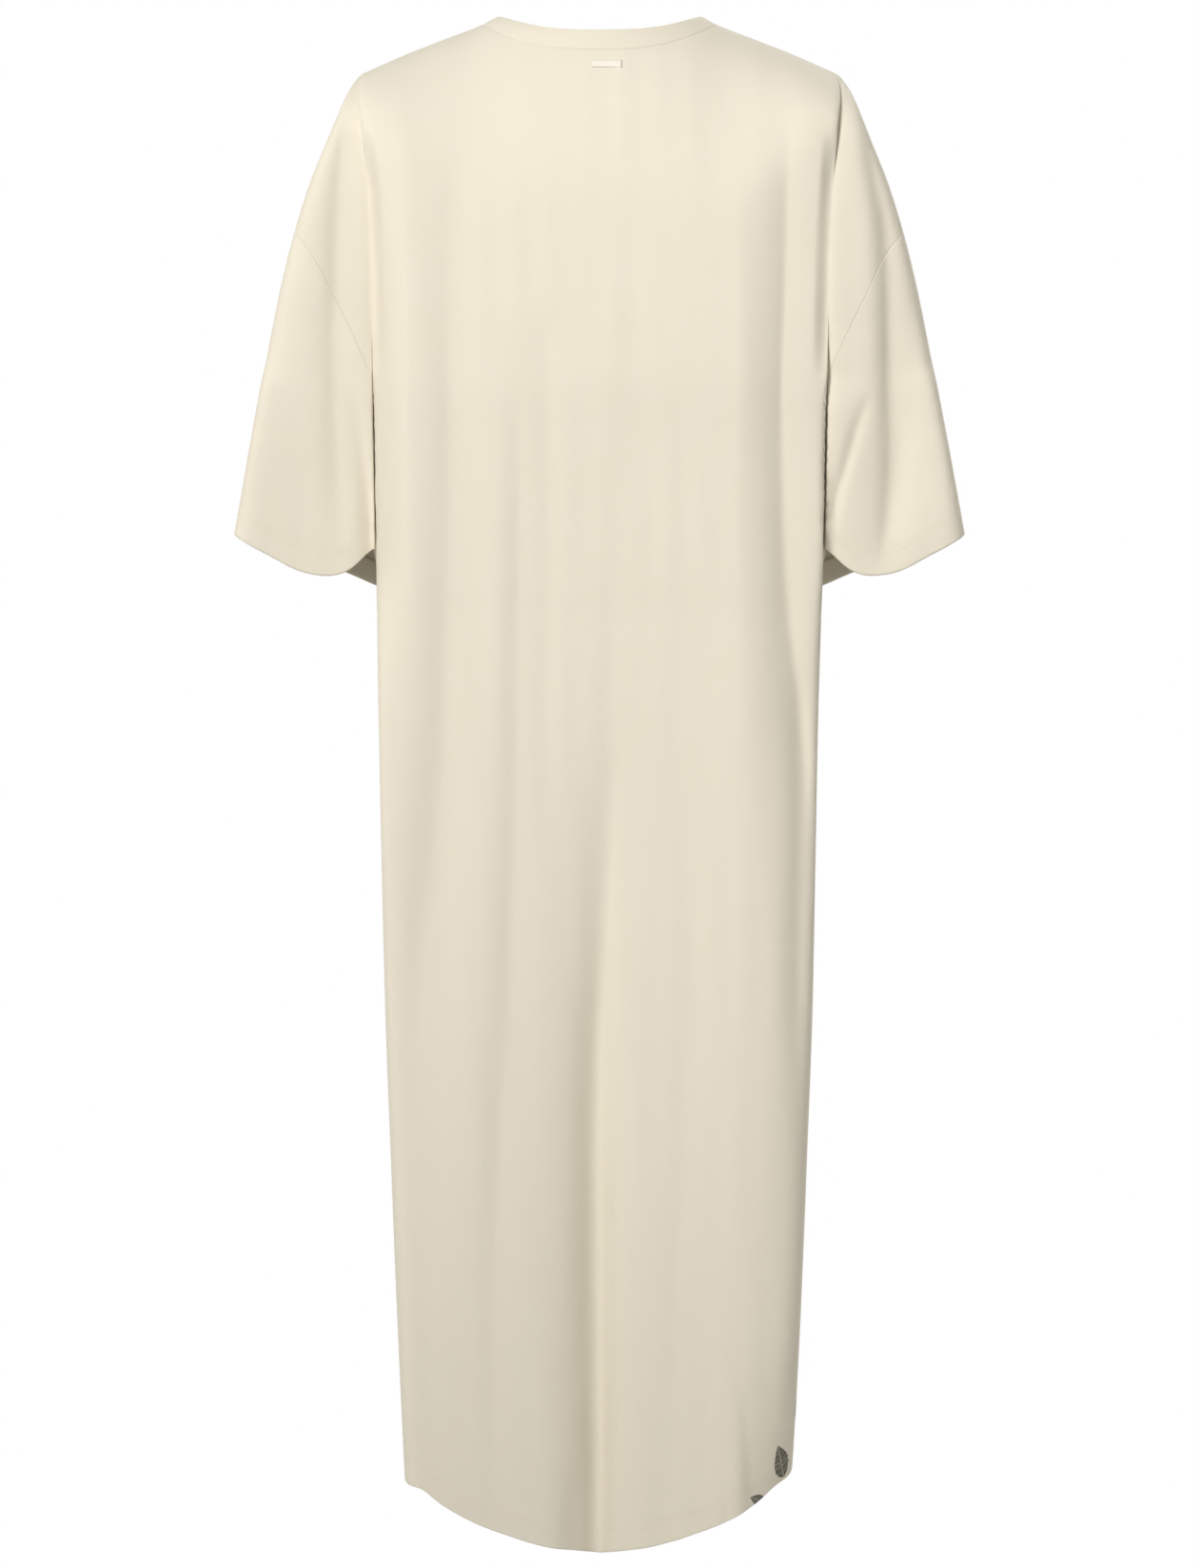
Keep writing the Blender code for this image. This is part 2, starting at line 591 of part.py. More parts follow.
def back_neck_bar(collection, back, material):
    """A short bar laid on the back panel: a flat grid drawn onto the cloth, then given its wall."""

    def flat_bar(u, v):
        x = BAR_MIDDLE_X - u * BAR_WIDTH / 2
        height = -BAR_MIDDLE_DROP + (0.5 - v) * BAR_HEIGHT
        return np.column_stack([x, np.full_like(x, BAR_FROM_DEPTH), height])

    mesh = bmesh.new()
    add_grid(mesh, BAR_COLUMNS, BAR_ROWS, flat_bar)
    data = bpy.data.meshes.new("back_neck_bar")
    mesh.to_mesh(data)
    mesh.free()
    data.materials.append(material)
    bar = bpy.data.objects.new("back_neck_bar", data)
    collection.objects.link(bar)
    drawn = bar.modifiers.new("Laid on the back", "SHRINKWRAP")
    drawn.target = back
    drawn.wrap_method = "PROJECT"
    drawn.use_project_y = True
    drawn.use_negative_direction = True
    drawn.use_positive_direction = False
    drawn.offset = BAR_LIFT
    wall = bar.modifiers.new("Wall", "SOLIDIFY")
    wall.thickness = BAR_WALL
    wall.offset = 1


def build():
    for leftover in list(bpy.data.objects):
        bpy.data.objects.remove(leftover, do_unlink=True)
    collection = bpy.data.collections.new(COLLECTION_NAME)
    bpy.context.scene.collection.children.link(collection)
    jersey = fabric("cream_jersey", CREAM, 0.9)
    rib = fabric("cream_rib", CREAM, 0.9)
    bar_cloth = fabric("light_bar_cloth", LIGHT_CREAM, 0.8)
    back = panel(collection, "back_panel", BACK, jersey)
    panel(collection, "front_panel", FRONT, jersey)
    sleeve(collection, "sleeve_left", LEFT, jersey)
    sleeve(collection, "sleeve_right", RIGHT, jersey)
    neckband(collection, rib)
    back_neck_bar(collection, back, bar_cloth)


build()
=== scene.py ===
"""The looks of the T-shirt dress: cream jersey, folds, seams, turned hems, stitches and a print.

Metres, +Z up, -Y the front, +X the wearer's left. A "drop" is a distance below the origin, which
is 3 mm above the points where the shoulder seams meet the neckline. The cloth is laid out as grids
of points: rows run across from left to right as seen from outside, and columns run down.
"""

import math

import bmesh
import bpy
import numpy as np
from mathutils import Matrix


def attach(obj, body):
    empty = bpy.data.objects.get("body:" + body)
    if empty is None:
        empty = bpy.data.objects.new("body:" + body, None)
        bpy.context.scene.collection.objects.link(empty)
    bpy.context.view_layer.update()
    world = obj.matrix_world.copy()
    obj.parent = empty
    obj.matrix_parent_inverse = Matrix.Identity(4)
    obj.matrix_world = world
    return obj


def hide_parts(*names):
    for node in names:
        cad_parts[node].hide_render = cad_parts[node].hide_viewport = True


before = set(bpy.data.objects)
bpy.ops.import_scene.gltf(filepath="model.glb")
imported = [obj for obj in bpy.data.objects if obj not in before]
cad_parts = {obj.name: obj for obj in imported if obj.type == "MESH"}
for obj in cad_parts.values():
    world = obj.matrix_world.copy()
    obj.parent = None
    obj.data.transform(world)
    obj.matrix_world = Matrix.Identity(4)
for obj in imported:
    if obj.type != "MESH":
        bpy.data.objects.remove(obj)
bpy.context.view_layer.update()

BACK, FRONT = 1, -1
LEFT, RIGHT = 1, -1
QUARTER_TURN = 0.5 * math.pi


def table(names, *rows):
    """A table's columns, each as an array under its name."""
    return {name: np.array(values) for name, values in zip(names, zip(*rows))}


# Cloth, seams and hems.
CLOTH_THICKNESS = 0.0009
SEAM_ROLL = 0.00014  # how far a sewn edge turns in
SEAM_ROLL_REACH = 0.0011
ARMHOLE_ROLL_FULL = 0.12  # the share of the way out along an arm by which its roll is full
SIDE_ROLL_FULL = 0.012  # how far below the underarm the side seam's roll is full
HEM_TURN = 0.020
HEM_BEHIND = 0.0021  # from the cloth's outside to the outside of the layer turned up behind it
HEM_FOLD_LIP = 0.0006
STITCH_ROWS = (0.0165, 0.0205)  # a twin-needle hem, measured up from the edge
STITCH_DENT = 0.00012
STITCH_DENT_REACH = 0.0011
STITCH_LIFT = 0.0001  # how far outside the cloth the middle of the thread lies
HEM_STITCH = {"Stitch": 0.0026, "Gap": 0.0006, "Thread": 0.00038}
TACK_STITCH = {"Stitch": 0.0011, "Gap": 0.0003, "Thread": 0.0003}
THREAD_SIDES, THREAD_RINGS = 6, 4

# The short light tape sewn on under the back of the neckband.
TAPE_WIDTH = 0.023
TAPE_HEIGHT = 0.0055
TAPE_MIDDLE_X = -0.006
TAPE_MIDDLE_DROP = 0.046
TAPE_LIFT = 0.0010
TAPE_FULLNESS = 0.0004  # how much further off its middle stands
TAPE_FULL_ACROSS, TAPE_FULL_DOWN = 6, 4  # powers: higher ones keep it full nearer to its edges
TACK_INSET = 0.0012
TACK_ENDS = 0.06  # the share of the tape's height that a tack leaves free above and below it

# Neck opening, at the neckband's upper edge and at its seam.
NECK_HALF_WIDTH = 0.082
BAND_SEAM_HALF_WIDTH = 0.095
NECK_BACK_DROP = 0.0195
NECK_FRONT_DROP = 0.085
NECK_BACK_DEPTH = 0.062
NECK_FRONT_DEPTH = 0.070
NECK_BACK_FLATNESS = 2.6
NECK_FRONT_ROUNDNESS = 0.625
BAND_HEIGHT = 0.015
BAND_THICKNESS = 0.0022
BAND_SINK_REACH = 0.012  # over this height the band sinks to its seam by half its thickness

# Shoulders, armholes and hems.
SHOULDER_SLOPE = math.tan(math.radians(23.5))
NECK_DIP = 0.0034  # how much lower the shoulder line lies beside the neck
NECK_DIP_REACH = 0.160
BEND_DROP = 0.0586
SEAM_OUTER_DROP = 0.174
UNDERARM_DROP = 0.290
CUFF_OUTER_DROP = 0.4140
CUFF_INNER_DROP = 0.4545
CUFF_CATCH = 0.029  # next to the body the back of the cuff is caught up, and the front let down
CUFF_LET_DOWN = 0.014
CUFF_CATCH_REACH = 0.17
CUFF_LET_DOWN_REACH = 0.30
CUFF_CATCH_POWER = 1.5
SLEEVE_CLEARANCE = 0.0005
SLEEVE_CLEAR_REACH = 0.040
HEM_FOLD_SAG = 0.35  # how much lower the hem hangs where the cloth is further in
HEM_SAG_POWER = 16

# How quickly the cloth rounds over from the shoulder line, near the neck and out at the tip.
ROUND_OVER_NECK = 0.165
ROUND_OVER_TIP = 0.055
ROUND_OVER_TIP_X = 0.200
ARM_POWER = 7.0  # the arm's section on its outer half: 2 is an ellipse
ARM_INNER_POWER = 70.0  # squarer next to the body, which the sleeve lies against
CREASE_REACH = 0.013  # above the underarm the body meets the crease in a soft slope this wide
CREASE_SOFTENS, CREASE_SOFT, CREASE_SQUARES = 0.090, 0.140, 0.235
HEAD_REACH = 0.016  # how far below the shoulder seam the cloth is rounded over at its tip
HEAD_FROM = 0.5  # the share of the way out from the crease at which that is full
FLANK_SHAPE = 1.6  # 1 falls straight; above it the flank steepens outwards
MOST_PRESSED = 0.8
LEAST_ROOM = 1e-9  # keeps a fold's depth from being divided by nothing
SLOPE_SHARPNESS = 1.8
NEAR_EDGE = 1e-6  # an arm's own formulas are worked out this far short of its outline
FALL_LIMIT, SWELL_LIMIT = 0.9, 0.98  # keep their logarithms finite, far from the outline

# Grid counts.
BODY_COLUMNS = 200
NECK_SHARE_OF_COLUMNS = 0.46  # of the columns at the top, those that lie round the neck
ARM_COLUMNS = 52
UPPER_ROWS = 60
LOWER_ROWS = 120
SLEEVE_COLUMNS = 168
SLEEVE_ROWS = 62
HEM_ROWS = 20
BODY_HEM_SHARE, CUFF_HEM_SHARE = 0.026, 0.14  # the share of a grid's length those rows take up
TURNED_ROWS = 9  # in the layer turned up behind a hem
BAND_COLUMNS = 168
BAND_ROWS = 11
BAND_EDGE_STEPS = 6  # over the band's upper edge
TAPE_COLUMNS, TAPE_ROWS = 24, 8
FINE_EDGE = 0.07  # the share of a grid's stations that crowd beside a sewn edge
FINE_EDGE_WIDTH = 0.018
WELD_REACH = 2e-6
NO_LENGTH = 1e-12  # keeps a direction from being divided by nothing

# Where a grid goes over from the broad face of a section to its side: at which share of the way
# round, and at which share of the full depth. The side's columns are spread down it from there.
BODY_CORNER, BODY_CORNER_DEPTH = 0.64, 0.90
ARM_CORNER, ARM_CORNER_DEPTH = 0.62, 0.93
SIDE_SPREADS = 0.15  # the share of the way from underarm to hem by which they have spread so

BODY = table(
    ("drop", "half_width", "back_depth", "front_depth", "squareness"),
    (0.000, 0.1900, 0.098, 0.082, 2.6),
    (0.060, 0.1900, 0.103, 0.086, 3.2),
    (0.100, 0.1860, 0.106, 0.096, 4.8),
    (0.130, 0.1838, 0.109, 0.104, 9.0),
    (0.165, 0.1820, 0.111, 0.114, 17.0),
    (0.200, 0.1810, 0.112, 0.123, 28.0),
    (0.250, 0.1803, 0.113, 0.129, 46.0),
    (0.290, 0.1800, 0.113, 0.132, 80.0),
    (0.330, 0.1796, 0.111, 0.133, 90.0),
    (0.400, 0.1794, 0.108, 0.130, 80.0),
    (0.455, 0.1792, 0.106, 0.126, 50.0),
    (0.480, 0.1789, 0.105, 0.124, 32.0),
    (0.600, 0.1778, 0.105, 0.118, 20.0),
    (0.780, 0.1768, 0.107, 0.114, 11.0),
    (0.950, 0.1727, 0.112, 0.115, 9.0),
    (1.100, 0.1676, 0.117, 0.117, 10.0),
    (1.260, 0.1618, 0.122, 0.120, 9.0),
)

# Each flank's fall: where it starts and ends, and how much further in the cloth is from there on.
FLANK_COLUMNS = ("drop", "start", "end", "fall")
FLANK_FALLS = {
    (BACK, RIGHT): (
        (0.08, 0.104, 0.148, 0.002),
        (0.13, 0.106, 0.146, 0.009),
        (0.20, 0.107, 0.145, 0.0145),
        (0.30, 0.108, 0.143, 0.0165),
        (0.40, 0.110, 0.146, 0.018),
        (0.48, 0.112, 0.152, 0.0215),
        (0.56, 0.112, 0.163, 0.026),
        (0.67, 0.112, 0.171, 0.019),
        (0.85, 0.110, 0.171, 0.012),
        (1.05, 0.106, 0.168, 0.012),
        (1.14, 0.110, 0.158, 0.019),
        (1.26, 0.111, 0.150, 0.040),
    ),
    (BACK, LEFT): (
        (0.08, 0.148, 0.186, 0.002),
        (0.15, 0.148, 0.184, 0.016),
        (0.25, 0.148, 0.182, 0.027),
        (0.42, 0.148, 0.180, 0.024),
        (0.55, 0.148, 0.180, 0.005),
        (0.65, 0.148, 0.180, 0.000),
    ),
    (FRONT, RIGHT): (
        (0.08, 0.092, 0.156, 0.002),
        (0.14, 0.096, 0.158, 0.014),
        (0.25, 0.096, 0.158, 0.030),
        (0.42, 0.098, 0.160, 0.034),
        (0.58, 0.104, 0.170, 0.014),
        (0.75, 0.110, 0.176, 0.004),
    ),
    (FRONT, LEFT): (
        (0.08, 0.100, 0.160, 0.002),
        (0.14, 0.104, 0.162, 0.016),
        (0.25, 0.102, 0.162, 0.032),
        (0.42, 0.100, 0.164, 0.032),
        (0.60, 0.108, 0.172, 0.010),
        (0.72, 0.112, 0.176, 0.004),
    ),
}
FLANKS = {place: table(FLANK_COLUMNS, *rows) for place, rows in FLANK_FALLS.items()}

HEM = table(
    ("share", "drop"),
    (0.00, 1.2540),
    (0.25, 1.2485),
    (0.50, 1.2360),
    (0.68, 1.2235),
    (0.80, 1.2120),
    (0.92, 1.2000),
    (1.00, 1.2010),
)

ARM = table(
    ("drop", "half_depth", "crease_depth"),
    (0.000, 0.060, 0.059),
    (0.060, 0.074, 0.076),
    (0.110, 0.083, 0.086),
    (0.160, 0.087, 0.090),
    (0.210, 0.088, 0.090),
    (0.250, 0.088, 0.088),
    (0.275, 0.087, 0.078),
    (0.286, 0.086, 0.036),
    (0.290, 0.086, 0.0),
    (0.330, 0.083, 0.0),
    (0.380, 0.077, 0.0),
    (0.460, 0.068, 0.0),
)

OUTLINE = table(
    ("x", "drop"),
    (0.0820, 0.0000),
    (0.1900, 0.0470),
    (0.1968, 0.0531),
    (0.2012, 0.0666),
    (0.2114, 0.0937),
    (0.2305, 0.1391),
    (0.2500, 0.2001),
    (0.2676, 0.2769),
    (0.2972, 0.4186),
    (0.3058, 0.4600),
)

ARMHOLE = table(
    ("share", "drop"),
    (0.00, UNDERARM_DROP),
    (0.25, 0.254),
    (0.50, 0.222),
    (0.75, 0.192),
    (1.00, SEAM_OUTER_DROP),
)

CUFF = table(
    ("share", "drop"),
    (0.00, CUFF_INNER_DROP),
    (0.25, 0.4505),
    (0.50, 0.4443),
    (0.75, 0.4297),
    (1.00, CUFF_OUTER_DROP),
)

# The folds. Each is a trough along a path down the cloth: how far out its bottom lies, how deep it
# is, and how wide its slopes are towards the wearer's left and right. A negative depth is a ridge.
FOLD_COLUMNS = ("drop", "x", "depth", "left", "right")
BACK_FOLDS = {
    "middle, broad": (
        (0.28, -0.012, 0.0000, 0.050, 0.120),
        (0.36, -0.012, 0.0050, 0.052, 0.130),
        (0.44, -0.012, 0.0080, 0.054, 0.140),
        (0.60, -0.011, 0.0150, 0.055, 0.140),
        (0.70, -0.008, 0.0180, 0.056, 0.140),
        (0.83, -0.003, 0.0180, 0.054, 0.140),
        (1.00, 0.001, 0.0150, 0.050, 0.140),
        (1.29, 0.002, 0.0130, 0.046, 0.140),
    ),
    "middle, sharp": (
        (0.58, -0.010, 0.0000, 0.024, 0.012),
        (0.66, -0.007, 0.0044, 0.022, 0.012),
        (0.75, -0.004, 0.0090, 0.022, 0.012),
        (0.83, 0.000, 0.0145, 0.023, 0.013),
        (0.91, 0.001, 0.0185, 0.025, 0.014),
        (1.07, 0.001, 0.0225, 0.024, 0.014),
        (1.17, 0.001, 0.0235, 0.021, 0.014),
        (1.29, 0.002, 0.0220, 0.019, 0.015),
    ),
    "left of the middle": (
        (0.22, 0.042, 0.0000, 0.011, 0.020),
        (0.27, 0.040, 0.0022, 0.012, 0.020),
        (0.45, 0.040, 0.0024, 0.012, 0.022),
        (0.58, 0.042, 0.0016, 0.012, 0.022),
        (0.72, 0.044, 0.0000, 0.012, 0.022),
    ),
    "left, soft": (
        (0.24, 0.062, 0.0000, 0.016, 0.050),
        (0.35, 0.062, 0.0034, 0.016, 0.050),
        (0.45, 0.063, 0.0058, 0.017, 0.050),
        (0.60, 0.065, 0.0066, 0.017, 0.050),
        (0.75, 0.070, 0.0066, 0.018, 0.050),
        (0.83, 0.075, 0.0064, 0.018, 0.050),
        (0.91, 0.080, 0.0060, 0.018, 0.050),
        (1.00, 0.085, 0.0050, 0.018, 0.050),
        (1.16, 0.086, 0.0028, 0.018, 0.050),
        (1.29, 0.087, 0.0020, 0.018, 0.050),
    ),
    "left, by the side": (
        (0.10, 0.116, 0.0000, 0.018, 0.040),
        (0.16, 0.115, 0.0040, 0.018, 0.042),
        (0.27, 0.115, 0.0052, 0.019, 0.044),
        (0.44, 0.117, 0.0076, 0.021, 0.045),
        (0.56, 0.122, 0.0080, 0.023, 0.045),
        (0.67, 0.131, 0.0090, 0.026, 0.045),
        (0.76, 0.142, 0.0090, 0.028, 0.045),
        (0.83, 0.146, 0.0080, 0.028, 0.045),
        (0.95, 0.143, 0.0060, 0.024, 0.045),
        (1.10, 0.139, 0.0040, 0.022, 0.045),
        (1.29, 0.138, 0.0036, 0.022, 0.045),
    ),
    "right, low": (
        (0.52, -0.160, 0.0000, 0.010, 0.012),
        (0.58, -0.163, 0.0040, 0.011, 0.012),
        (0.66, -0.164, 0.0060, 0.012, 0.012),
        (0.76, -0.163, 0.0060, 0.012, 0.012),
        (0.86, -0.164, 0.0030, 0.012, 0.012),
        (0.96, -0.166, 0.0000, 0.012, 0.012),
    ),
    "right of the middle": (
        (0.40, -0.070, 0.0000, 0.016, 0.050),
        (0.52, -0.070, 0.0014, 0.016, 0.050),
        (0.90, -0.068, 0.0018, 0.016, 0.050),
        (1.29, -0.062, 0.0010, 0.016, 0.050),
    ),
    "right, at the hem": (
        (1.10, -0.118, 0.0000, 0.006, 0.030),
        (1.15, -0.122, 0.0030, 0.007, 0.030),
        (1.21, -0.127, 0.0050, 0.009, 0.040),
        (1.29, -0.129, 0.0056, 0.010, 0.040),
    ),
    "right, small at the hem": (
        (1.205, -0.102, 0.0000, 0.003, 0.008),
        (1.225, -0.104, 0.0014, 0.003, 0.009),
        (1.290, -0.105, 0.0018, 0.003, 0.009),
    ),
    "flute at the hem": (
        (1.19, 0.018, 0.0000, 0.010, 0.008),
        (1.22, 0.021, 0.0022, 0.012, 0.009),
        (1.29, 0.024, 0.0040, 0.016, 0.012),
    ),
    "left arm": (
        (0.075, 0.197, 0.0000, 0.010, 0.026),
        (0.110, 0.201, 0.0050, 0.010, 0.026),
        (0.150, 0.204, 0.0058, 0.011, 0.026),
        (0.217, 0.207, 0.0060, 0.011, 0.026),
        (0.262, 0.209, 0.0058, 0.012, 0.028),
        (0.340, 0.209, 0.0050, 0.012, 0.030),
        (0.390, 0.206, 0.0024, 0.012, 0.024),
        (0.425, 0.204, 0.0000, 0.012, 0.020),
    ),
    "left crease": (
        (0.100, 0.180, 0.0000, 0.009, 0.016),
        (0.150, 0.179, 0.0040, 0.009, 0.016),
        (0.330, 0.178, 0.0040, 0.010, 0.016),
        (0.420, 0.176, 0.0050, 0.012, 0.016),
        (0.480, 0.176, 0.0000, 0.012, 0.016),
    ),
    "right crease": (
        (0.075, -0.178, 0.0000, 0.012, 0.010),
        (0.110, -0.177, 0.0024, 0.012, 0.010),
        (0.173, -0.176, 0.0018, 0.012, 0.010),
        (0.230, -0.177, 0.0024, 0.012, 0.010),
        (0.307, -0.179, 0.0040, 0.012, 0.010),
        (0.353, -0.183, 0.0036, 0.012, 0.010),
        (0.398, -0.188, 0.0044, 0.011, 0.010),
        (0.460, -0.187, 0.0040, 0.010, 0.010),
    ),
    "right sleeve, lifted by the body": (
        (0.290, -0.1815, 0.0000, 0.0015, 0.022),
        (0.320, -0.1815, -0.0050, 0.0015, 0.022),
        (0.400, -0.1815, -0.0060, 0.0015, 0.022),
        (0.440, -0.1815, -0.0020, 0.0015, 0.022),
    ),
    "left drag": (
        (0.290, 0.196, 0.0000, 0.009, 0.006),
        (0.340, 0.190, 0.0034, 0.009, 0.006),
        (0.385, 0.186, 0.0044, 0.009, 0.006),
        (0.440, 0.184, 0.0040, 0.010, 0.006),
    ),
    "right arm": (
        (0.140, -0.248, 0.0000, 0.022, 0.040),
        (0.217, -0.251, 0.0074, 0.022, 0.040),
        (0.307, -0.252, 0.0086, 0.022, 0.040),
        (0.353, -0.249, 0.0060, 0.020, 0.040),
        (0.420, -0.240, 0.0000, 0.018, 0.030),
    ),
    "right arm, sharp": (
        (0.080, -0.208, 0.0000, 0.010, 0.020),
        (0.128, -0.216, 0.0090, 0.011, 0.020),
        (0.173, -0.226, 0.0108, 0.011, 0.022),
        (0.217, -0.229, 0.0100, 0.010, 0.024),
        (0.307, -0.232, 0.0104, 0.010, 0.024),
        (0.353, -0.234, 0.0100, 0.011, 0.022),
        (0.400, -0.232, 0.0072, 0.010, 0.020),
        (0.445, -0.228, 0.0000, 0.010, 0.020),
    ),
    "right drag": (
        (0.300, -0.214, 0.0000, 0.006, 0.006),
        (0.325, -0.206, 0.0028, 0.006, 0.005),
        (0.355, -0.198, 0.0038, 0.007, 0.005),
        (0.385, -0.190, 0.0028, 0.007, 0.005),
        (0.415, -0.186, 0.0000, 0.007, 0.005),
    ),
}
FRONT_FOLDS = {
    "left of the middle": (
        (0.36, 0.046, 0.0000, 0.018, 0.046),
        (0.60, 0.040, 0.0060, 0.018, 0.046),
        (0.90, 0.041, 0.0150, 0.018, 0.048),
        (1.29, 0.046, 0.0200, 0.020, 0.048),
    ),
    "right of the middle": (
        (0.38, -0.072, 0.0000, 0.040, 0.018),
        (0.60, -0.080, 0.0050, 0.042, 0.018),
        (0.90, -0.084, 0.0120, 0.044, 0.018),
        (1.29, -0.078, 0.0170, 0.044, 0.020),
    ),
    "right, under the arm": (
        (0.12, -0.138, 0.0000, 0.012, 0.030),
        (0.28, -0.126, 0.0060, 0.012, 0.030),
        (0.46, -0.132, 0.0090, 0.013, 0.030),
        (0.62, -0.152, 0.0060, 0.014, 0.026),
        (0.76, -0.168, 0.0000, 0.014, 0.020),
    ),
    "left, under the arm": (
        (0.13, 0.136, 0.0000, 0.030, 0.012),
        (0.26, 0.124, 0.0050, 0.030, 0.012),
        (0.42, 0.128, 0.0080, 0.030, 0.013),
        (0.56, 0.152, 0.0050, 0.026, 0.014),
        (0.68, 0.168, 0.0000, 0.020, 0.014),
    ),
    "left, at the hem": (
        (0.90, 0.118, 0.0000, 0.020, 0.030),
        (1.08, 0.125, 0.0060, 0.020, 0.030),
        (1.29, 0.130, 0.0100, 0.022, 0.032),
    ),
    "right, soft": (
        (0.52, -0.024, 0.0000, 0.014, 0.022),
        (0.80, -0.020, 0.0024, 0.014, 0.024),
        (1.10, -0.014, 0.0020, 0.016, 0.024),
        (1.29, -0.012, 0.0010, 0.016, 0.024),
    ),
    "right arm": (
        (0.070, -0.206, 0.0000, 0.009, 0.014),
        (0.160, -0.220, 0.0050, 0.009, 0.016),
        (0.280, -0.224, 0.0075, 0.010, 0.018),
        (0.420, -0.222, 0.0000, 0.010, 0.016),
    ),
    "left arm": (
        (0.080, 0.206, 0.0000, 0.014, 0.009),
        (0.170, 0.219, 0.0050, 0.016, 0.009),
        (0.300, 0.224, 0.0080, 0.018, 0.010),
        (0.430, 0.226, 0.0000, 0.016, 0.010),
    ),
    "right drag": (
        (0.290, -0.208, 0.0000, 0.007, 0.006),
        (0.340, -0.198, 0.0034, 0.007, 0.006),
        (0.400, -0.189, 0.0000, 0.007, 0.006),
    ),
    "left drag": (
        (0.300, 0.212, 0.0000, 0.006, 0.007),
        (0.350, 0.200, 0.0038, 0.006, 0.007),
        (0.410, 0.189, 0.0000, 0.006, 0.007),
    ),
}
FOLDS = {
    facing: [table(FOLD_COLUMNS, *rows) for rows in folds.values()]
    for facing, folds in ((BACK, BACK_FOLDS), (FRONT, FRONT_FOLDS))
}

# The faint waviness that jersey keeps between its folds.
RIPPLE_WAVES = 7
RIPPLE_HEIGHT = 0.00014
RIPPLE_SHORTEST, RIPPLE_LONGEST = 0.022, 0.075
RIPPLE_STRETCH = 28.0  # how much longer the waves run down than across
RIPPLE_SWELL = 2.3  # how much quicker than that their height comes and goes
RIPPLE_SEED = 11

# Leaves printed near the hem at the wearer's right side. Across is from the side seam, on to the
# back where it is above 0. The turn is in degrees, from a leaf that points straight up.
LEAVES = table(
    ("across", "drop", "turn", "length", "width"),
    (0.089, 1.188, 28, 0.038, 0.019),
    (0.068, 1.140, -10, 0.032, 0.014),
    (0.114, 1.216, 66, 0.022, 0.010),
    (0.050, 1.184, -32, 0.036, 0.015),
    (0.034, 1.146, 16, 0.034, 0.013),
    (0.012, 1.176, -8, 0.038, 0.015),
    (0.000, 1.126, 12, 0.034, 0.012),
    (-0.028, 1.196, -36, 0.044, 0.017),
    (-0.052, 1.150, -8, 0.046, 0.018),
    (-0.070, 1.205, -58, 0.044, 0.017),
    (-0.094, 1.166, -26, 0.048, 0.018),
    (-0.036, 1.106, 14, 0.040, 0.014),
    (-0.078, 1.104, -14, 0.042, 0.016),
    (-0.120, 1.210, -70, 0.040, 0.015),
    (-0.132, 1.150, -40, 0.040, 0.014),
    (-0.060, 1.060, 4, 0.034, 0.011),
)

# A leaf by formula: how low down it is broadest, its side veins and its toothed edge.
LEAF_BROAD_LOW = 0.8  # a power: at 1 it is broadest in its middle
LEAF_VEINS = 7.0
VEIN_SLANT = -2.2
VEIN_WIDTH = 0.13
MIDRIB_WIDTH = 0.035
LEAF_TEETH = -0.12

# The knit: how wide and how high one stitch is in each cloth, and what unevenness the yarn has.
JERSEY_GAUGE = (0.0007, 0.0006)
RIB_GAUGE = (0.0012, 0.0007)
FINE_GAUGE = (0.0004, 0.0004)
LOOP_SLANT = 1.2  # how steeply a stitch's legs run
LOOP_SWELL = 0.3  # how much each loop thickens and thins
FUZZ_SCALE, FUZZ_DETAIL, FUZZ_HEIGHT = 2600, 3, 0.35
YARN_SCALE, YARN_DETAIL = (14, 420, 1), 2  # thick and thin places lie along the courses
PATCH_SCALE, PATCH_DETAIL = 22, 3
YARN_SHARE = 0.4  # of the unevenness in shade; soft patches make up the rest
MATT_COTTON = {
    "Roughness": 0.88,
    "Specular IOR Level": 0.25,
    "Sheen Weight": 0.12,
    "Sheen Roughness": 0.45,
}
KNIT_RELIEF = {"Strength": 0.35, "Distance": 0.0002}

# A cloth's two colours are those of its lighter and its darker yarn.
CREAM = ((0.80, 0.752, 0.640, 1.0), (0.79, 0.732, 0.608, 1.0))
LIGHT_TAPE = ((0.90, 0.865, 0.775, 1.0), (0.86, 0.82, 0.72, 1.0))
LEAF_GREY = (0.135, 0.128, 0.100, 1.0)
LEAF_VEIN = (0.36, 0.345, 0.29, 1.0)

# The studio.
WHITE = (1.0, 1.0, 1.0, 1.0)
SKY, SKY_STRENGTH = (1.0, 0.985, 0.95, 1.0), 0.32
FLOOR, FLOOR_ROUGHNESS = (0.6, 0.59, 0.57, 1.0), 0.9
FLOOR_REACH, FLOOR_HEIGHT = 12.0, -1.45
SENSOR_WIDTH, LENS = 36, 66.5
CAMERA_PLACE = (0.0, 2.4, -0.27)
CAMERA_TILT = 8.46  # degrees below level, looking at the dress's back

# Each soft box: its place, what it points at, its width and height, its power, its colour, and
# its spread in degrees.
SOFT_BOXES = {
    "key": ((1.6, 3.7, 1.2), (-0.25, 0, -0.20), (1.0, 1.8), 17, (1.0, 0.985, 0.96), 55),
    "side fill": ((-2.7, 0.5, 0.2), (0, 0, -0.45), (0.9, 2.0), 8, (1.0, 0.985, 0.95), 180),
    "front key": ((-1.9, -2.4, 1.0), (0, 0, -0.5), (1.6, 1.6), 60, (1.0, 0.985, 0.96), 180),
    "front side fill": ((2.6, -0.9, 0.2), (0, 0, -0.45), (0.9, 2.0), 20, (1.0, 0.985, 0.95), 180),
}


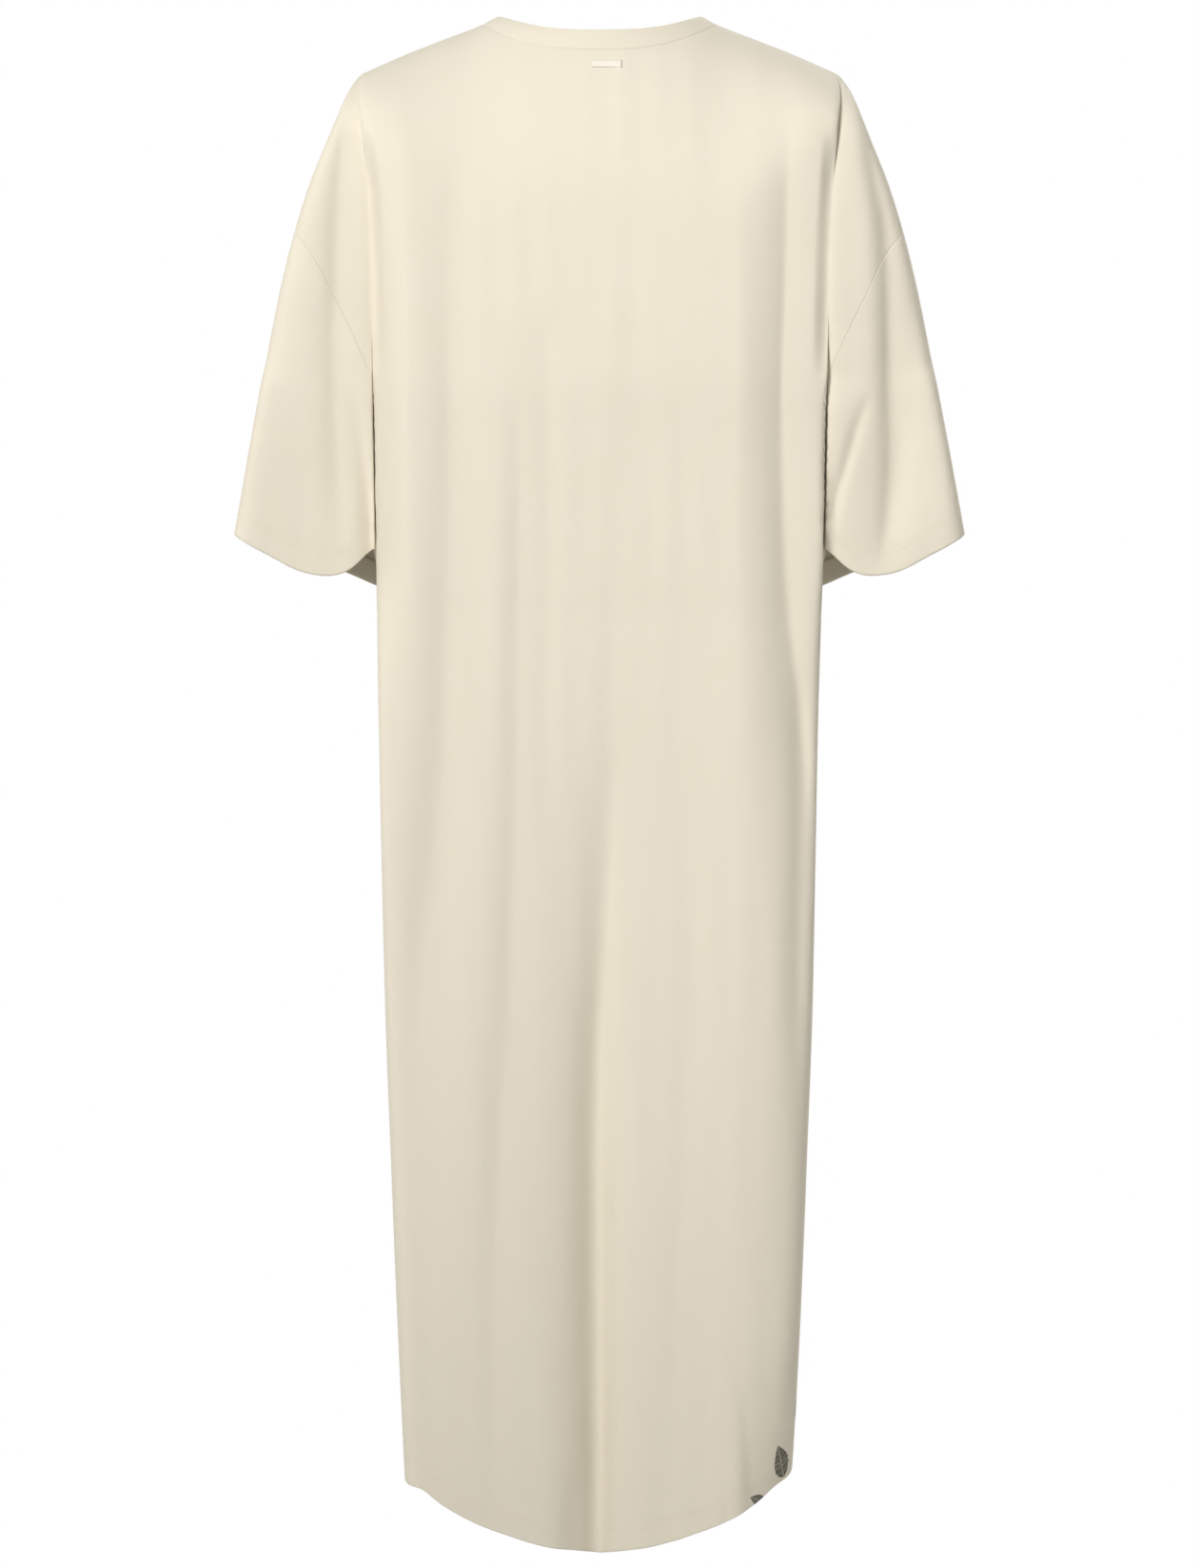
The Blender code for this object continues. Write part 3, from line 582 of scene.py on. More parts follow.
# ---- The dress's form ----


def smooth_through(at, stations, values):
    """A smooth curve through a table's values that never overshoots them."""
    steps = np.diff(stations)
    slopes = np.diff(values) / steps
    before, after = slopes[:-1], slopes[1:]
    level = before * after <= 0
    safe_before = np.where(level, 1.0, before)
    safe_after = np.where(level, 1.0, after)
    inner = np.where(level, 0.0, 2 / (1 / safe_before + 1 / safe_after))
    tangents = np.concatenate([slopes[:1], inner, slopes[-1:]])
    at = np.clip(at, stations[0], stations[-1])
    row = np.clip(np.searchsorted(stations, at) - 1, 0, len(steps) - 1)
    t = (at - stations[row]) / steps[row]
    return (
        values[row] * (1 + 2 * t) * (1 - t) ** 2
        + tangents[row] * steps[row] * t * (1 - t) ** 2
        + values[row + 1] * t**2 * (3 - 2 * t)
        + tangents[row + 1] * steps[row] * t**2 * (t - 1)
    )


def ease(value, low, high):
    """From 0 at low to 1 at high, smoothly."""
    t = np.clip((value - low) / (high - low), 0, 1)
    return t * t * (3 - 2 * t)


def blend(first, last, share):
    """From first at 0 to last at 1, evenly."""
    return first + (last - first) * share


def bowed(share, power):
    """A section's depth as a share of the full: power 2 is a circle, higher ones are squarer."""
    return (1 - share**power) ** (1 / power)


def bowed_near_edge(short, power):
    """The same for 1 - short, worked out closely where short is next to nothing."""
    return (-np.expm1(power * np.log1p(-short))) ** (1 / power)


def body_section(drop, name):
    return smooth_through(drop, BODY["drop"], BODY[name])


def arm_section(drop, name):
    return smooth_through(drop, ARM["drop"], ARM[name])


def outline_x(drop):
    """How far out the shoulder and sleeve reach at a drop."""
    return smooth_through(drop, OUTLINE["drop"], OUTLINE["x"])


def armhole_drop(share):
    """The armhole seam's drop, from 0 at the underarm to 1 at the outline."""
    return smooth_through(share, ARMHOLE["share"], ARMHOLE["drop"])


def seam_line_drop(x):
    """The shoulder seam's line, which is straight but for a dip beside the neck."""
    dip = NECK_DIP * (1 - ease(x, NECK_HALF_WIDTH, NECK_DIP_REACH))
    return (x - NECK_HALF_WIDTH) * SHOULDER_SLOPE + dip


def shoulder_drop(x):
    """The shoulder line: straight along the seam and past its tip, arched over the neck opening."""
    x = np.abs(x)
    arch = 0.5 * SHOULDER_SLOPE * (BAND_SEAM_HALF_WIDTH - x**2 / BAND_SEAM_HALF_WIDTH)
    over_neck = seam_line_drop(BAND_SEAM_HALF_WIDTH) - arch
    return np.where(x < BAND_SEAM_HALF_WIDTH, over_neck, seam_line_drop(x))


def neck_drop(x, half_width, facing, seam):
    """The neckline's drop: at the band's upper edge where seam is 0, and at its seam at 1."""
    across = np.clip(np.abs(x) / half_width, 0, 1)
    side = seam_line_drop(half_width)
    if facing == BACK:
        return blend(NECK_BACK_DROP + BAND_HEIGHT * seam, side, across**NECK_BACK_FLATNESS)
    middle = NECK_FRONT_DROP + BAND_HEIGHT * seam
    return blend(side, middle, (1 - across**2) ** NECK_FRONT_ROUNDNESS)


def panel_top_drop(x, facing):
    """Where a panel starts: at the neck seam, and past it at the shoulder seam."""
    neck = neck_drop(x, BAND_SEAM_HALF_WIDTH, facing, 1)
    return np.where(np.abs(x) < BAND_SEAM_HALF_WIDTH, neck, shoulder_drop(x))


def round_over(x, drop):
    """How much of its full depth the cloth has at this distance below the shoulder line."""
    out = ease(np.abs(x), NECK_HALF_WIDTH, ROUND_OVER_TIP_X)
    reach = blend(ROUND_OVER_NECK, ROUND_OVER_TIP, out)
    rest = np.clip(1 - (drop - shoulder_drop(x)) / reach, 0, 1)
    return np.sqrt(1 - rest**2)


def flank_fall(x, drop, facing):
    """How far the cloth falls back from the middle's level on its way out to the arms and sides."""
    total = np.zeros_like(x)
    for hand in (LEFT, RIGHT):
        flank = FLANKS[facing, hand]
        start, end, fall = (
            smooth_through(drop, flank["drop"], flank[name]) for name in FLANK_COLUMNS[1:]
        )
        total += fall * np.clip((hand * x - start) / (end - start), 0, 1) ** FLANK_SHAPE
    return total


def body_depth(share, drop, facing, square=None):
    """Depth of the body's cloth: share runs from 0 in the middle to 1 at the crease or side seam.
    Square is the section's own depth there, 1 in the middle and 0 at the side, where the caller
    knows it more closely."""
    full = body_section(drop, "back_depth" if facing == BACK else "front_depth")
    crease = arm_section(drop, "crease_depth")
    if square is None:
        square = bowed(np.clip(np.abs(share), 0, 1), body_section(drop, "squareness"))
    half_width = body_section(drop, "half_width")
    x = -facing * share * half_width
    soft = 1 - ease(np.abs(x) - half_width, -CREASE_REACH, 0)
    softness = ease(drop, CREASE_SOFTENS, CREASE_SOFT)
    softness = softness * (1 - ease(drop, CREASE_SQUARES, UNDERARM_DROP))
    full = full - flank_fall(x, drop, facing)
    return blend(crease, full, blend(square, soft, softness)) * round_over(x, drop)


def sleeve_inner_x(drop):
    """The sleeve's wall next to the body, just clear of it."""
    clear = ease(drop, UNDERARM_DROP, UNDERARM_DROP + SLEEVE_CLEAR_REACH)
    return body_section(UNDERARM_DROP, "half_width") + SLEEVE_CLEARANCE * clear


def arm_depth(x, drop, edge=1.0):
    """Depth of the arm's cloth, out from the crease to the outline. Beside the outline, edge says
    by how much less than x gives the point is really short of it."""
    inner = body_section(drop, "half_width")
    inner = np.where(drop > UNDERARM_DROP, sleeve_inner_x(drop), inner)
    share = np.clip((x - inner) / (outline_x(drop) - inner), 0, 1)
    short = (1 - share) * edge
    fall = bowed_near_edge(np.minimum(short, FALL_LIMIT), ARM_POWER)
    inner_swell = bowed(np.maximum(1 - 2 * share, 0), ARM_INNER_POWER)
    outer_swell = bowed_near_edge(np.minimum(2 * short, SWELL_LIMIT), ARM_POWER)
    swell = np.where(share < 0.5, inner_swell, outer_swell)
    crease = arm_section(drop, "crease_depth")
    above_fall = arm_section(drop, "half_depth") - crease * bowed(0.5, ARM_POWER)
    return (crease * fall + np.maximum(above_fall, 0) * swell) * round_over(x, drop)


# ---- Folds ----


def fold_depth(x, drop, facing):
    """How far the folds press the cloth in at a point."""
    total = np.zeros_like(x)
    for fold in FOLDS[facing]:
        at = {name: smooth_through(drop, fold["drop"], fold[name]) for name in FOLD_COLUMNS[1:]}
        width = np.where(x > at["x"], at["left"], at["right"])
        total += at["depth"] / np.cosh(SLOPE_SHARPNESS * (x - at["x"]) / width)
    return total


def ripple(x, drop, seed):
    """A faint unevenness in the hang of the cloth, as long soft waves."""
    chance = np.random.default_rng(seed)
    total = np.zeros_like(x)
    for _ in range(RIPPLE_WAVES):
        across = math.tau / chance.uniform(RIPPLE_SHORTEST, RIPPLE_LONGEST)
        down = across / RIPPLE_STRETCH * chance.uniform(-1, 1)
        swell = np.sin(down * RIPPLE_SWELL * drop + chance.uniform(0, math.tau))
        total += swell * np.sin(across * x + down * drop + chance.uniform(0, math.tau))
    return RIPPLE_HEIGHT * total


def press_folds(points, facing):
    """Moves points in towards the middle plane by the folds, but not those that lie on it."""
    x, y, drop = points[:, 0], points[:, 1], -points[:, 2]
    fold = fold_depth(x, drop, facing) + ripple(x, drop, RIPPLE_SEED + facing)
    room = MOST_PRESSED * np.abs(y) + LEAST_ROOM
    points[:, 1] = y - np.sign(y) * room * np.tanh(fold / room)
    return points


# ---- Grids ----


def crowded(count, at_start=True, at_end=True):
    """Even stations from 0 to 1, drawn together beside a sewn edge so that it can roll."""
    even, placed = [0.0], [0.0]
    if at_start:
        even.append(FINE_EDGE)
        placed.append(FINE_EDGE_WIDTH)
    if at_end:
        even.append(1 - FINE_EDGE)
        placed.append(1 - FINE_EDGE_WIDTH)
    return np.interp(np.linspace(0, 1, count + 1), even + [1.0], placed + [1.0])


def fine_at_hem(stations, share):
    """Stations down to a hem, the last share of the way in fine rows for its stitches."""
    return np.concatenate([stations[:-1] * (1 - share), np.linspace(1 - share, 1, HEM_ROWS + 1)])


def laid_out(place, across, down, *others):
    """A grid's points, with place given every pair of stations."""
    u, v = np.meshgrid(across, down)
    return place(u.ravel(), v.ravel(), *others).reshape(len(down), len(across), 3)


def along(points, axis):
    """Distance from the first point of each column (axis 0) or row (axis 1)."""
    steps = np.linalg.norm(np.diff(points, axis=axis), axis=2)
    nothing = np.zeros_like(np.take(steps, [0], axis=axis))
    return np.concatenate([nothing, np.cumsum(steps, axis=axis)], axis=axis)


def to_end(points, axis):
    """Distance to the last point of each column or row."""
    run = along(points, axis)
    return np.take(run, [-1], axis=axis) - run


def unit(vectors):
    return vectors / np.maximum(np.linalg.norm(vectors, axis=-1, keepdims=True), NO_LENGTH)


def outward(points, closed=False):
    """Each grid point's outward direction; a closed grid's last column lies on its first."""
    if closed:
        points = np.concatenate([points[:, -2:-1], points, points[:, 1:2]], axis=1)
    normal = unit(np.cross(np.gradient(points, axis=0), np.gradient(points, axis=1)))
    return normal[:, 1:-1] if closed else normal


def pressed(points, amount, closed=False):
    """The grid moved in by an amount at each point."""
    return points - outward(points, closed) * amount[..., None]


def seam_roll(distance):
    return SEAM_ROLL * np.exp(-((distance / SEAM_ROLL_REACH) ** 2))


def side_rolls(points):
    return seam_roll(along(points, 1)) + seam_roll(to_end(points, 1))


def stitch_dent(points):
    """How far the rows of hem stitches above the grid's lower edge draw the cloth in."""
    from_edge = to_end(points, 0)
    rows = [np.exp(-(((from_edge - row) / STITCH_DENT_REACH) ** 2)) for row in STITCH_ROWS]
    return STITCH_DENT * sum(rows)


def row_above_edge(points, distance, lift):
    """The line that runs a distance above the grid's lower edge, and lift outside the cloth."""
    run = to_end(points, 0)
    normal = outward(points)
    line = np.empty((points.shape[1], 3))
    for column in range(points.shape[1]):
        upwards = run[::-1, column]
        spots = points[::-1, column] + lift * normal[::-1, column]
        line[column] = [np.interp(distance, upwards, spots[:, axis]) for axis in range(3)]
    return line


def stitch_lines(points):
    return [row_above_edge(points, height, STITCH_LIFT) for height in STITCH_ROWS]


def turned_up(points, cloth):
    """The grid and its lengths along the cloth, with the hem folded up behind the lower edge."""
    heights = np.linspace(0.0, HEM_TURN, TURNED_ROWS)
    behind = [row_above_edge(points, height, -HEM_BEHIND) for height in heights]
    downward = unit(points[-1] - points[-2])
    lip = points[-1] - outward(points)[-1] * HEM_BEHIND / 2 + downward * HEM_FOLD_LIP
    extra = np.repeat(cloth[-1:], TURNED_ROWS + 1, axis=0)
    extra[..., 1] -= np.concatenate([[HEM_BEHIND / 2], HEM_BEHIND + heights])[:, None]
    return np.concatenate([points, lip[None], np.array(behind)]), np.concatenate([cloth, extra])


# ---- Pieces of the dress ----


def body_share(u, down):
    """How far out a body column lies: even round the neck at the top, and round the body below."""
    place = np.abs(u) / NECK_SHARE_OF_COLUMNS
    neck_share = BAND_SEAM_HALF_WIDTH / BODY["half_width"][0]
    past_neck = (np.abs(u) - NECK_SHARE_OF_COLUMNS) / (1 - NECK_SHARE_OF_COLUMNS)
    at_neck = neck_share * np.sin(QUARTER_TURN * np.minimum(place, 1))
    at_shoulder = blend(neck_share, 1, np.sin(QUARTER_TURN * np.clip(past_neck, 0, 1)))
    top = np.where(place <= 1, at_neck, at_shoulder)
    below = np.sin(QUARTER_TURN * np.abs(u))
    return np.sign(u) * blend(top, below, ease(down, 0, 1))


def round_section(way, power):
    """How far out and how deep a point is on a section, a share of the way round to its side."""
    corner = bowed(BODY_CORNER_DEPTH, power)
    down_side = BODY_CORNER_DEPTH * (1 - np.maximum(way, BODY_CORNER)) / (1 - BODY_CORNER)
    share = np.where(way < BODY_CORNER, corner * way / BODY_CORNER, bowed(down_side, power))
    return share, np.where(way < BODY_CORNER, bowed(share, power), down_side)


def way_round(share, power):
    """The share of the way round a section at which a point this far out stands."""
    corner = bowed(BODY_CORNER_DEPTH, power)
    down_side = 1 - (1 - BODY_CORNER) * bowed(share, power) / BODY_CORNER_DEPTH
    return np.where(share < corner, BODY_CORNER * share / corner, down_side)


def body_place(share, drop, facing, square=None):
    """Points on the body's cloth, with its folds."""
    x = -facing * share * body_section(drop, "half_width")
    points = np.column_stack([x, facing * body_depth(share, drop, facing, square), -drop])
    return press_folds(points, facing)


def upper_body(u, v, facing):
    """The body above the underarm."""
    down = 1 - np.cos(QUARTER_TURN * v)
    share = body_share(u, down)
    top = panel_top_drop(share * BODY["half_width"][0], facing)
    return body_place(share, blend(top, UNDERARM_DROP, down), facing)


def lower_body(u, v, facing):
    """The body below the underarm. Behind the sleeves its columns spread down the sides."""
    power = body_section(blend(UNDERARM_DROP, HEM["drop"][-1], v), "squareness")
    way = way_round(np.abs(body_share(u, 1)), power)
    way = blend(way, np.abs(u), ease(v, 0, SIDE_SPREADS))
    share, square = round_section(way, power)
    share = np.sign(u) * share
    hem = smooth_through(np.abs(share), HEM["share"], HEM["drop"])
    hem_x = -facing * share * body_section(hem, "half_width")
    pressed_in = fold_depth(hem_x, hem, facing) + flank_fall(hem_x, hem, facing)
    hem = hem + HEM_FOLD_SAG * pressed_in * (1 - share**HEM_SAG_POWER)
    return body_place(share, blend(UNDERARM_DROP, hem, v), facing, square)


def arm_share(out):
    """How far out a column of an arm lies, from 0 at the crease to just short of 1 at the outline,
    and by how much less than that it is really short of it."""
    corner = (1 + bowed(ARM_CORNER_DEPTH, ARM_POWER)) / 2
    face = corner * (1 - np.cos(QUARTER_TURN * np.minimum(out / ARM_CORNER, 1)))
    down_side = ARM_CORNER_DEPTH * (1 - np.maximum(out, ARM_CORNER)) / (1 - ARM_CORNER)
    short = -0.5 * np.expm1(np.log1p(-(down_side**ARM_POWER)) / ARM_POWER)
    short = np.where(out < ARM_CORNER, 1 - face, short)
    shown = np.maximum(short, NEAR_EDGE)
    return 1 - shown, short / shown


def upper_arm(out, v, facing, hand):
    """The arm above its armhole seam, from the crease out to the outline."""
    share, edge = arm_share(out)
    crease_x = BODY["half_width"][0]
    crease_drop = shoulder_drop(crease_x)
    inner_down = 1 - np.cos(QUARTER_TURN * v)
    inner_drop = blend(crease_drop, UNDERARM_DROP, inner_down)
    inner_x = body_section(inner_drop, "half_width")
    outer_drop = blend(BEND_DROP, SEAM_OUTER_DROP, (inner_down + v) / 2)
    outer_x = outline_x(outer_drop)
    tip_x = outline_x(blend(crease_drop, BEND_DROP, share))
    tip_bow = tip_x - crease_x - (outline_x(BEND_DROP) - crease_x) * share
    x = blend(inner_x, outer_x, share) + tip_bow * (1 - v)
    armhole_bow = armhole_drop(share) - blend(UNDERARM_DROP, SEAM_OUTER_DROP, share)
    drop = blend(inner_drop, outer_drop, share) + armhole_bow * v
    below_seam = drop - crease_drop - (BEND_DROP - crease_drop) * share
    head = np.sqrt(1 - np.clip(1 - below_seam / HEAD_REACH, 0, 1) ** 2)
    depth = arm_depth(x, drop, edge) * blend(1, head, ease(share, 0, HEAD_FROM))
    return press_folds(np.column_stack([hand * x, facing * depth, -drop]), facing)


def sleeve_tube(u, v, hand):
    """A sleeve: u goes all round from the line next to the body, v from armhole to cuff."""
    share, edge = arm_share(1 - np.abs(u))
    side = np.where(np.abs(u) < 1, np.sign(u) * hand, 0)
    moved = np.where(side == BACK, -CUFF_CATCH, CUFF_LET_DOWN) * np.abs(side)
    reach = np.where(side == BACK, CUFF_CATCH_REACH, CUFF_LET_DOWN_REACH)
    moved = moved * np.exp(-((share / reach) ** CUFF_CATCH_POWER))
    cuff_drop = smooth_through(share, CUFF["share"], CUFF["drop"]) + moved
    drop = blend(armhole_drop(share), cuff_drop, v)
    seam_inner, seam_outer = sleeve_inner_x(UNDERARM_DROP), outline_x(SEAM_OUTER_DROP)
    cuff_inner, cuff_outer = sleeve_inner_x(CUFF_INNER_DROP), outline_x(CUFF_OUTER_DROP)
    inner_line = sleeve_inner_x(blend(UNDERARM_DROP, CUFF_INNER_DROP, v))
    outer_line = outline_x(blend(SEAM_OUTER_DROP, CUFF_OUTER_DROP, v))
    inner_bow = inner_line - blend(seam_inner, cuff_inner, v)
    outer_bow = outer_line - blend(seam_outer, cuff_outer, v)
    seam_x, cuff_x = blend(seam_inner, seam_outer, share), blend(cuff_inner, cuff_outer, share)
    x = blend(seam_x, cuff_x, v) + inner_bow * (1 - share) ** 2 + outer_bow * share**2
    points = np.column_stack([hand * x, side * arm_depth(x, drop, edge), -drop])
    for facing in (BACK, FRONT):
        here = side == facing
        points[here] = press_folds(points[here], facing)
    return points


def neckline(u, sewn):
    """The neckband's middle surface: u goes all round from the back's middle, and sewn runs from
    its upper edge at 0 to its seam at 1."""
    angle = math.pi * u
    points = np.zeros((len(u), 3))
    for facing, neck_depth in ((BACK, NECK_BACK_DEPTH), (FRONT, NECK_FRONT_DEPTH)):
        here = -np.cos(angle) * facing >= 0
        across, towards = np.sin(angle[here]), np.abs(np.cos(angle[here]))
        upper_x, seam_x = NECK_HALF_WIDTH * across, BAND_SEAM_HALF_WIDTH * across
        upper_drop = neck_drop(upper_x, NECK_HALF_WIDTH, facing, 0)
        seam_drop = neck_drop(seam_x, BAND_SEAM_HALF_WIDTH, facing, 1)
        seam_depth = body_depth(np.abs(seam_x) / BODY["half_width"][0], seam_drop, facing)
        upper = np.column_stack([upper_x, facing * neck_depth * towards, -upper_drop])
        lower = np.column_stack([seam_x, facing * seam_depth, -seam_drop])
        points[here] = blend(upper, lower, sewn[here, None])
    return points


def lengths(points, middle):
    """The cloth's own coordinates in metres: across from a middle column, down from the top row."""
    across = along(points, 1)
    return np.stack([across - across[:, middle:middle + 1], -along(points, 0)], axis=2)


def panel_grids(facing):
    """A panel's upper grid, with both arms, and its lower grid, with their cloth coordinates and
    the lower one's print coordinates."""
    around = 2 * crowded(BODY_COLUMNS) - 1
    upper_rows = crowded(UPPER_ROWS)
    body = laid_out(upper_body, around, upper_rows, facing)
    outwards = crowded(ARM_COLUMNS, at_start=False)
    hands = (LEFT, RIGHT) if facing == BACK else (RIGHT, LEFT)
    first, last = (laid_out(upper_arm, outwards, upper_rows, facing, hand) for hand in hands)
    upper = np.concatenate([first[:, :0:-1], body, last[:, 1:]], axis=1)
    lower_rows = fine_at_hem(np.linspace(0, 1, LOWER_ROWS - HEM_ROWS + 1), BODY_HEM_SHARE)
    lower = laid_out(lower_body, around, lower_rows, facing)

    # The armhole's roll dies away at the crease, where the seam goes round under the arm.
    arm_place = np.concatenate([outwards[:0:-1], np.zeros(BODY_COLUMNS + 1), outwards[1:]])
    armhole_roll = seam_roll(to_end(upper, 0)) * ease(arm_place, 0, ARMHOLE_ROLL_FULL)
    upper_roll = seam_roll(along(upper, 0)) + armhole_roll + side_rolls(upper)
    side_roll = side_rolls(lower) * ease(along(lower, 0), 0, SIDE_ROLL_FULL)

    upper_cloth = lengths(upper, ARM_COLUMNS + BODY_COLUMNS // 2)
    lower_cloth = lengths(lower, BODY_COLUMNS // 2)
    lower_cloth[..., 1] += upper_cloth[-1, ARM_COLUMNS:ARM_COLUMNS + BODY_COLUMNS + 1, 1]
    from_right_seam = to_end(lower, 1) if facing == BACK else -along(lower, 1)
    lower_print = np.stack([from_right_seam, lower[..., 2]], axis=2)

    upper = pressed(upper, upper_roll)
    lower = pressed(lower, side_roll + stitch_dent(lower))
    return upper, upper_cloth, lower, lower_cloth, lower_print


def put_in_scene(name, data):
    piece = bpy.data.objects.new(name, data)
    bpy.context.scene.collection.objects.link(piece)
    return piece


def make_sheet(name, grids, material, node):
    """One piece of cloth, welded and given its thickness. Each of its grids comes as its points,
    its cloth coordinates and, on a printed piece, its print coordinates."""
    vertices, *layers = (
        np.concatenate([block.reshape(-1, block.shape[2]) for block in blocks])
        for blocks in zip(*grids)
    )
    faces, start = [], 0
    for points, *_ in grids:
        rows, columns = points.shape[:2]
        index = start + np.arange(rows * columns).reshape(rows, columns)
        corners = (index[:-1, :-1], index[1:, :-1], index[1:, 1:], index[:-1, 1:])
        faces.append(np.stack(corners, axis=2).reshape(-1, 4))
        start += rows * columns
    faces = np.concatenate(faces)
    mesh = bpy.data.meshes.new(name)
    mesh.from_pydata(vertices.tolist(), [], faces.tolist())
    for layer, values in zip(("cloth", "print"), layers):
        mesh.uv_layers.new(name=layer).uv.foreach_set("vector", values[faces.ravel()].ravel())
    weld(mesh)
    mesh.shade_smooth()
    mesh.materials.append(material)
    piece = put_in_scene(name, mesh)
    shell = piece.modifiers.new("Cloth thickness", "SOLIDIFY")
    shell.thickness = CLOTH_THICKNESS
    shell.offset = -1
    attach(piece, "root")
    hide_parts(node)
    return piece


def weld(mesh):
    """Joins the grids of a sheet where their edges meet."""
    loose = bmesh.new()
    loose.from_mesh(mesh)
    bmesh.ops.remove_doubles(loose, verts=loose.verts, dist=WELD_REACH)
    loose.to_mesh(mesh)
    loose.free()


def make_panel(name, facing, node, material):
    upper, upper_cloth, lower, lower_cloth, lower_print = panel_grids(facing)
    hemmed, hemmed_cloth = turned_up(lower, lower_cloth)
    behind = np.repeat(lower_print[-1:], len(hemmed) - len(lower), axis=0)
    hemmed_print = np.concatenate([lower_print, behind])
    no_print = np.ones_like(upper_cloth)  # a place that no leaf comes near
    grids = [(upper, upper_cloth, no_print), (hemmed, hemmed_cloth, hemmed_print)]
    piece = make_sheet(name, grids, material, node)
    return piece, stitch_lines(lower)


def make_sleeve(name, hand, node, material):
    around = 2 * crowded(SLEEVE_COLUMNS) - 1
    down = fine_at_hem(crowded(SLEEVE_ROWS - HEM_ROWS, at_end=False), CUFF_HEM_SHARE)
    tube = laid_out(sleeve_tube, around, down, hand)
    tube = pressed(tube, seam_roll(along(tube, 0)) + side_rolls(tube) + stitch_dent(tube))
    hemmed = turned_up(tube, lengths(tube, SLEEVE_COLUMNS // 2))
    piece = make_sheet(name, [hemmed], material, node)
    return piece, stitch_lines(tube)


def make_neckband(material):
    """The neckband: a folded band, up on the inside, over its upper edge and down to the seam."""
    around, sewn = np.linspace(-1, 1, BAND_COLUMNS + 1), np.linspace(0, 1, BAND_ROWS + 1)
    middle = laid_out(neckline, around, sewn)
    normal = outward(middle, closed=True)
    upward = unit(middle[0] - middle[1])
    half = BAND_THICKNESS / 2
    over = [
        middle[0] + half * (math.sin(angle) * upward - math.cos(angle) * normal[0])
        for angle in np.linspace(0, math.pi, BAND_EDGE_STEPS + 1)[1:-1]
    ]
    inside, outside = (middle - normal * half)[::-1], middle + normal * half
    band = np.concatenate([inside, np.array(over), outside])
    sink = half * ease(-to_end(band, 0), -BAND_SINK_REACH, 0)
    band = pressed(band, seam_roll(to_end(band, 0)) + sink, closed=True)
    grids = [(band, lengths(band, BAND_COLUMNS // 2))]
    piece = make_sheet("neck_rib", grids, material, "neckband")
    return piece


def tape_place(u, v):
    """The tape, laid on the back and a little full in its middle: u runs across it, v down."""
    x = TAPE_MIDDLE_X + (0.5 - u) * TAPE_WIDTH
    drop = TAPE_MIDDLE_DROP + (v - 0.5) * TAPE_HEIGHT
    points = body_place(-x / body_section(drop, "half_width"), drop, BACK)
    full_across, full_down = 1 - (2 * u - 1) ** TAPE_FULL_ACROSS, 1 - (2 * v - 1) ** TAPE_FULL_DOWN
    points[:, 1] += TAPE_LIFT + TAPE_FULLNESS * full_across * full_down
    return points


def make_tape(material):
    across, down = np.linspace(0, 1, TAPE_COLUMNS + 1), np.linspace(0, 1, TAPE_ROWS + 1)
    tape = laid_out(tape_place, across, down)
    grids = [(tape, lengths(tape, TAPE_COLUMNS // 2))]
    piece = make_sheet("neck_tape", grids, material, "back_neck_bar")
    inset = TACK_INSET / TAPE_WIDTH
    tack = laid_out(tape_place, np.array([inset, 1 - inset]), blend(TACK_ENDS, 1 - TACK_ENDS, down))
    return piece, [tack[:, column] + np.array([0, STITCH_LIFT, 0]) for column in (0, 1)]


# ---- Materials ----


def new_group(name, inputs, outputs):
    """A shader group with named sockets, and its input and output nodes."""
    group = bpy.data.node_groups.new(name, "ShaderNodeTree")
    for socket, kind, value in inputs:
        made = group.interface.new_socket(socket, in_out="INPUT", socket_type=kind)
        if value is not None:
            made.default_value = value
    for socket in outputs:
        group.interface.new_socket(socket, in_out="OUTPUT", socket_type="NodeSocketFloat")
    return group, group.nodes.new("NodeGroupInput"), group.nodes.new("NodeGroupOutput")


def feed(tree, socket, value):
    """Sets a socket to a plain value, or links an output to it."""
    if isinstance(value, bpy.types.NodeSocket):
        tree.links.new(value, socket)
    else:
        socket.default_value = value


def maths(tree, operation, *values, kind="ShaderNodeMath"):
    """A Math node with each value set or linked, returning its output."""
    node = tree.nodes.new(kind)
    node.operation = operation
    for socket, value in zip(node.inputs, values):
        feed(tree, socket, value)
    return node.outputs[0]


def vector_maths(tree, operation, *values):
    return maths(tree, operation, *values, kind="ShaderNodeVectorMath")


def between(tree, share, first, second):
    """A colour mixed from two, each set or linked."""
    mix = tree.nodes.new("ShaderNodeMix")
    mix.data_type = "RGBA"
    for socket, value in ((mix.inputs[0], share), (mix.inputs[6], first), (mix.inputs[7], second)):
        feed(tree, socket, value)
    return mix.outputs[2]


def noise(tree, place, scale, detail):
    node = tree.nodes.new("ShaderNodeTexNoise")
    for name, value in (("Vector", place), ("Scale", scale), ("Detail", detail)):
        feed(tree, node.inputs[name], value)
    return node.outputs[0]


def split(tree, vector):
    """A vector's parts along X and Y."""
    parts = tree.nodes.new("ShaderNodeSeparateXYZ")
    tree.links.new(vector, parts.inputs[0])
    return parts.outputs["X"], parts.outputs["Y"]


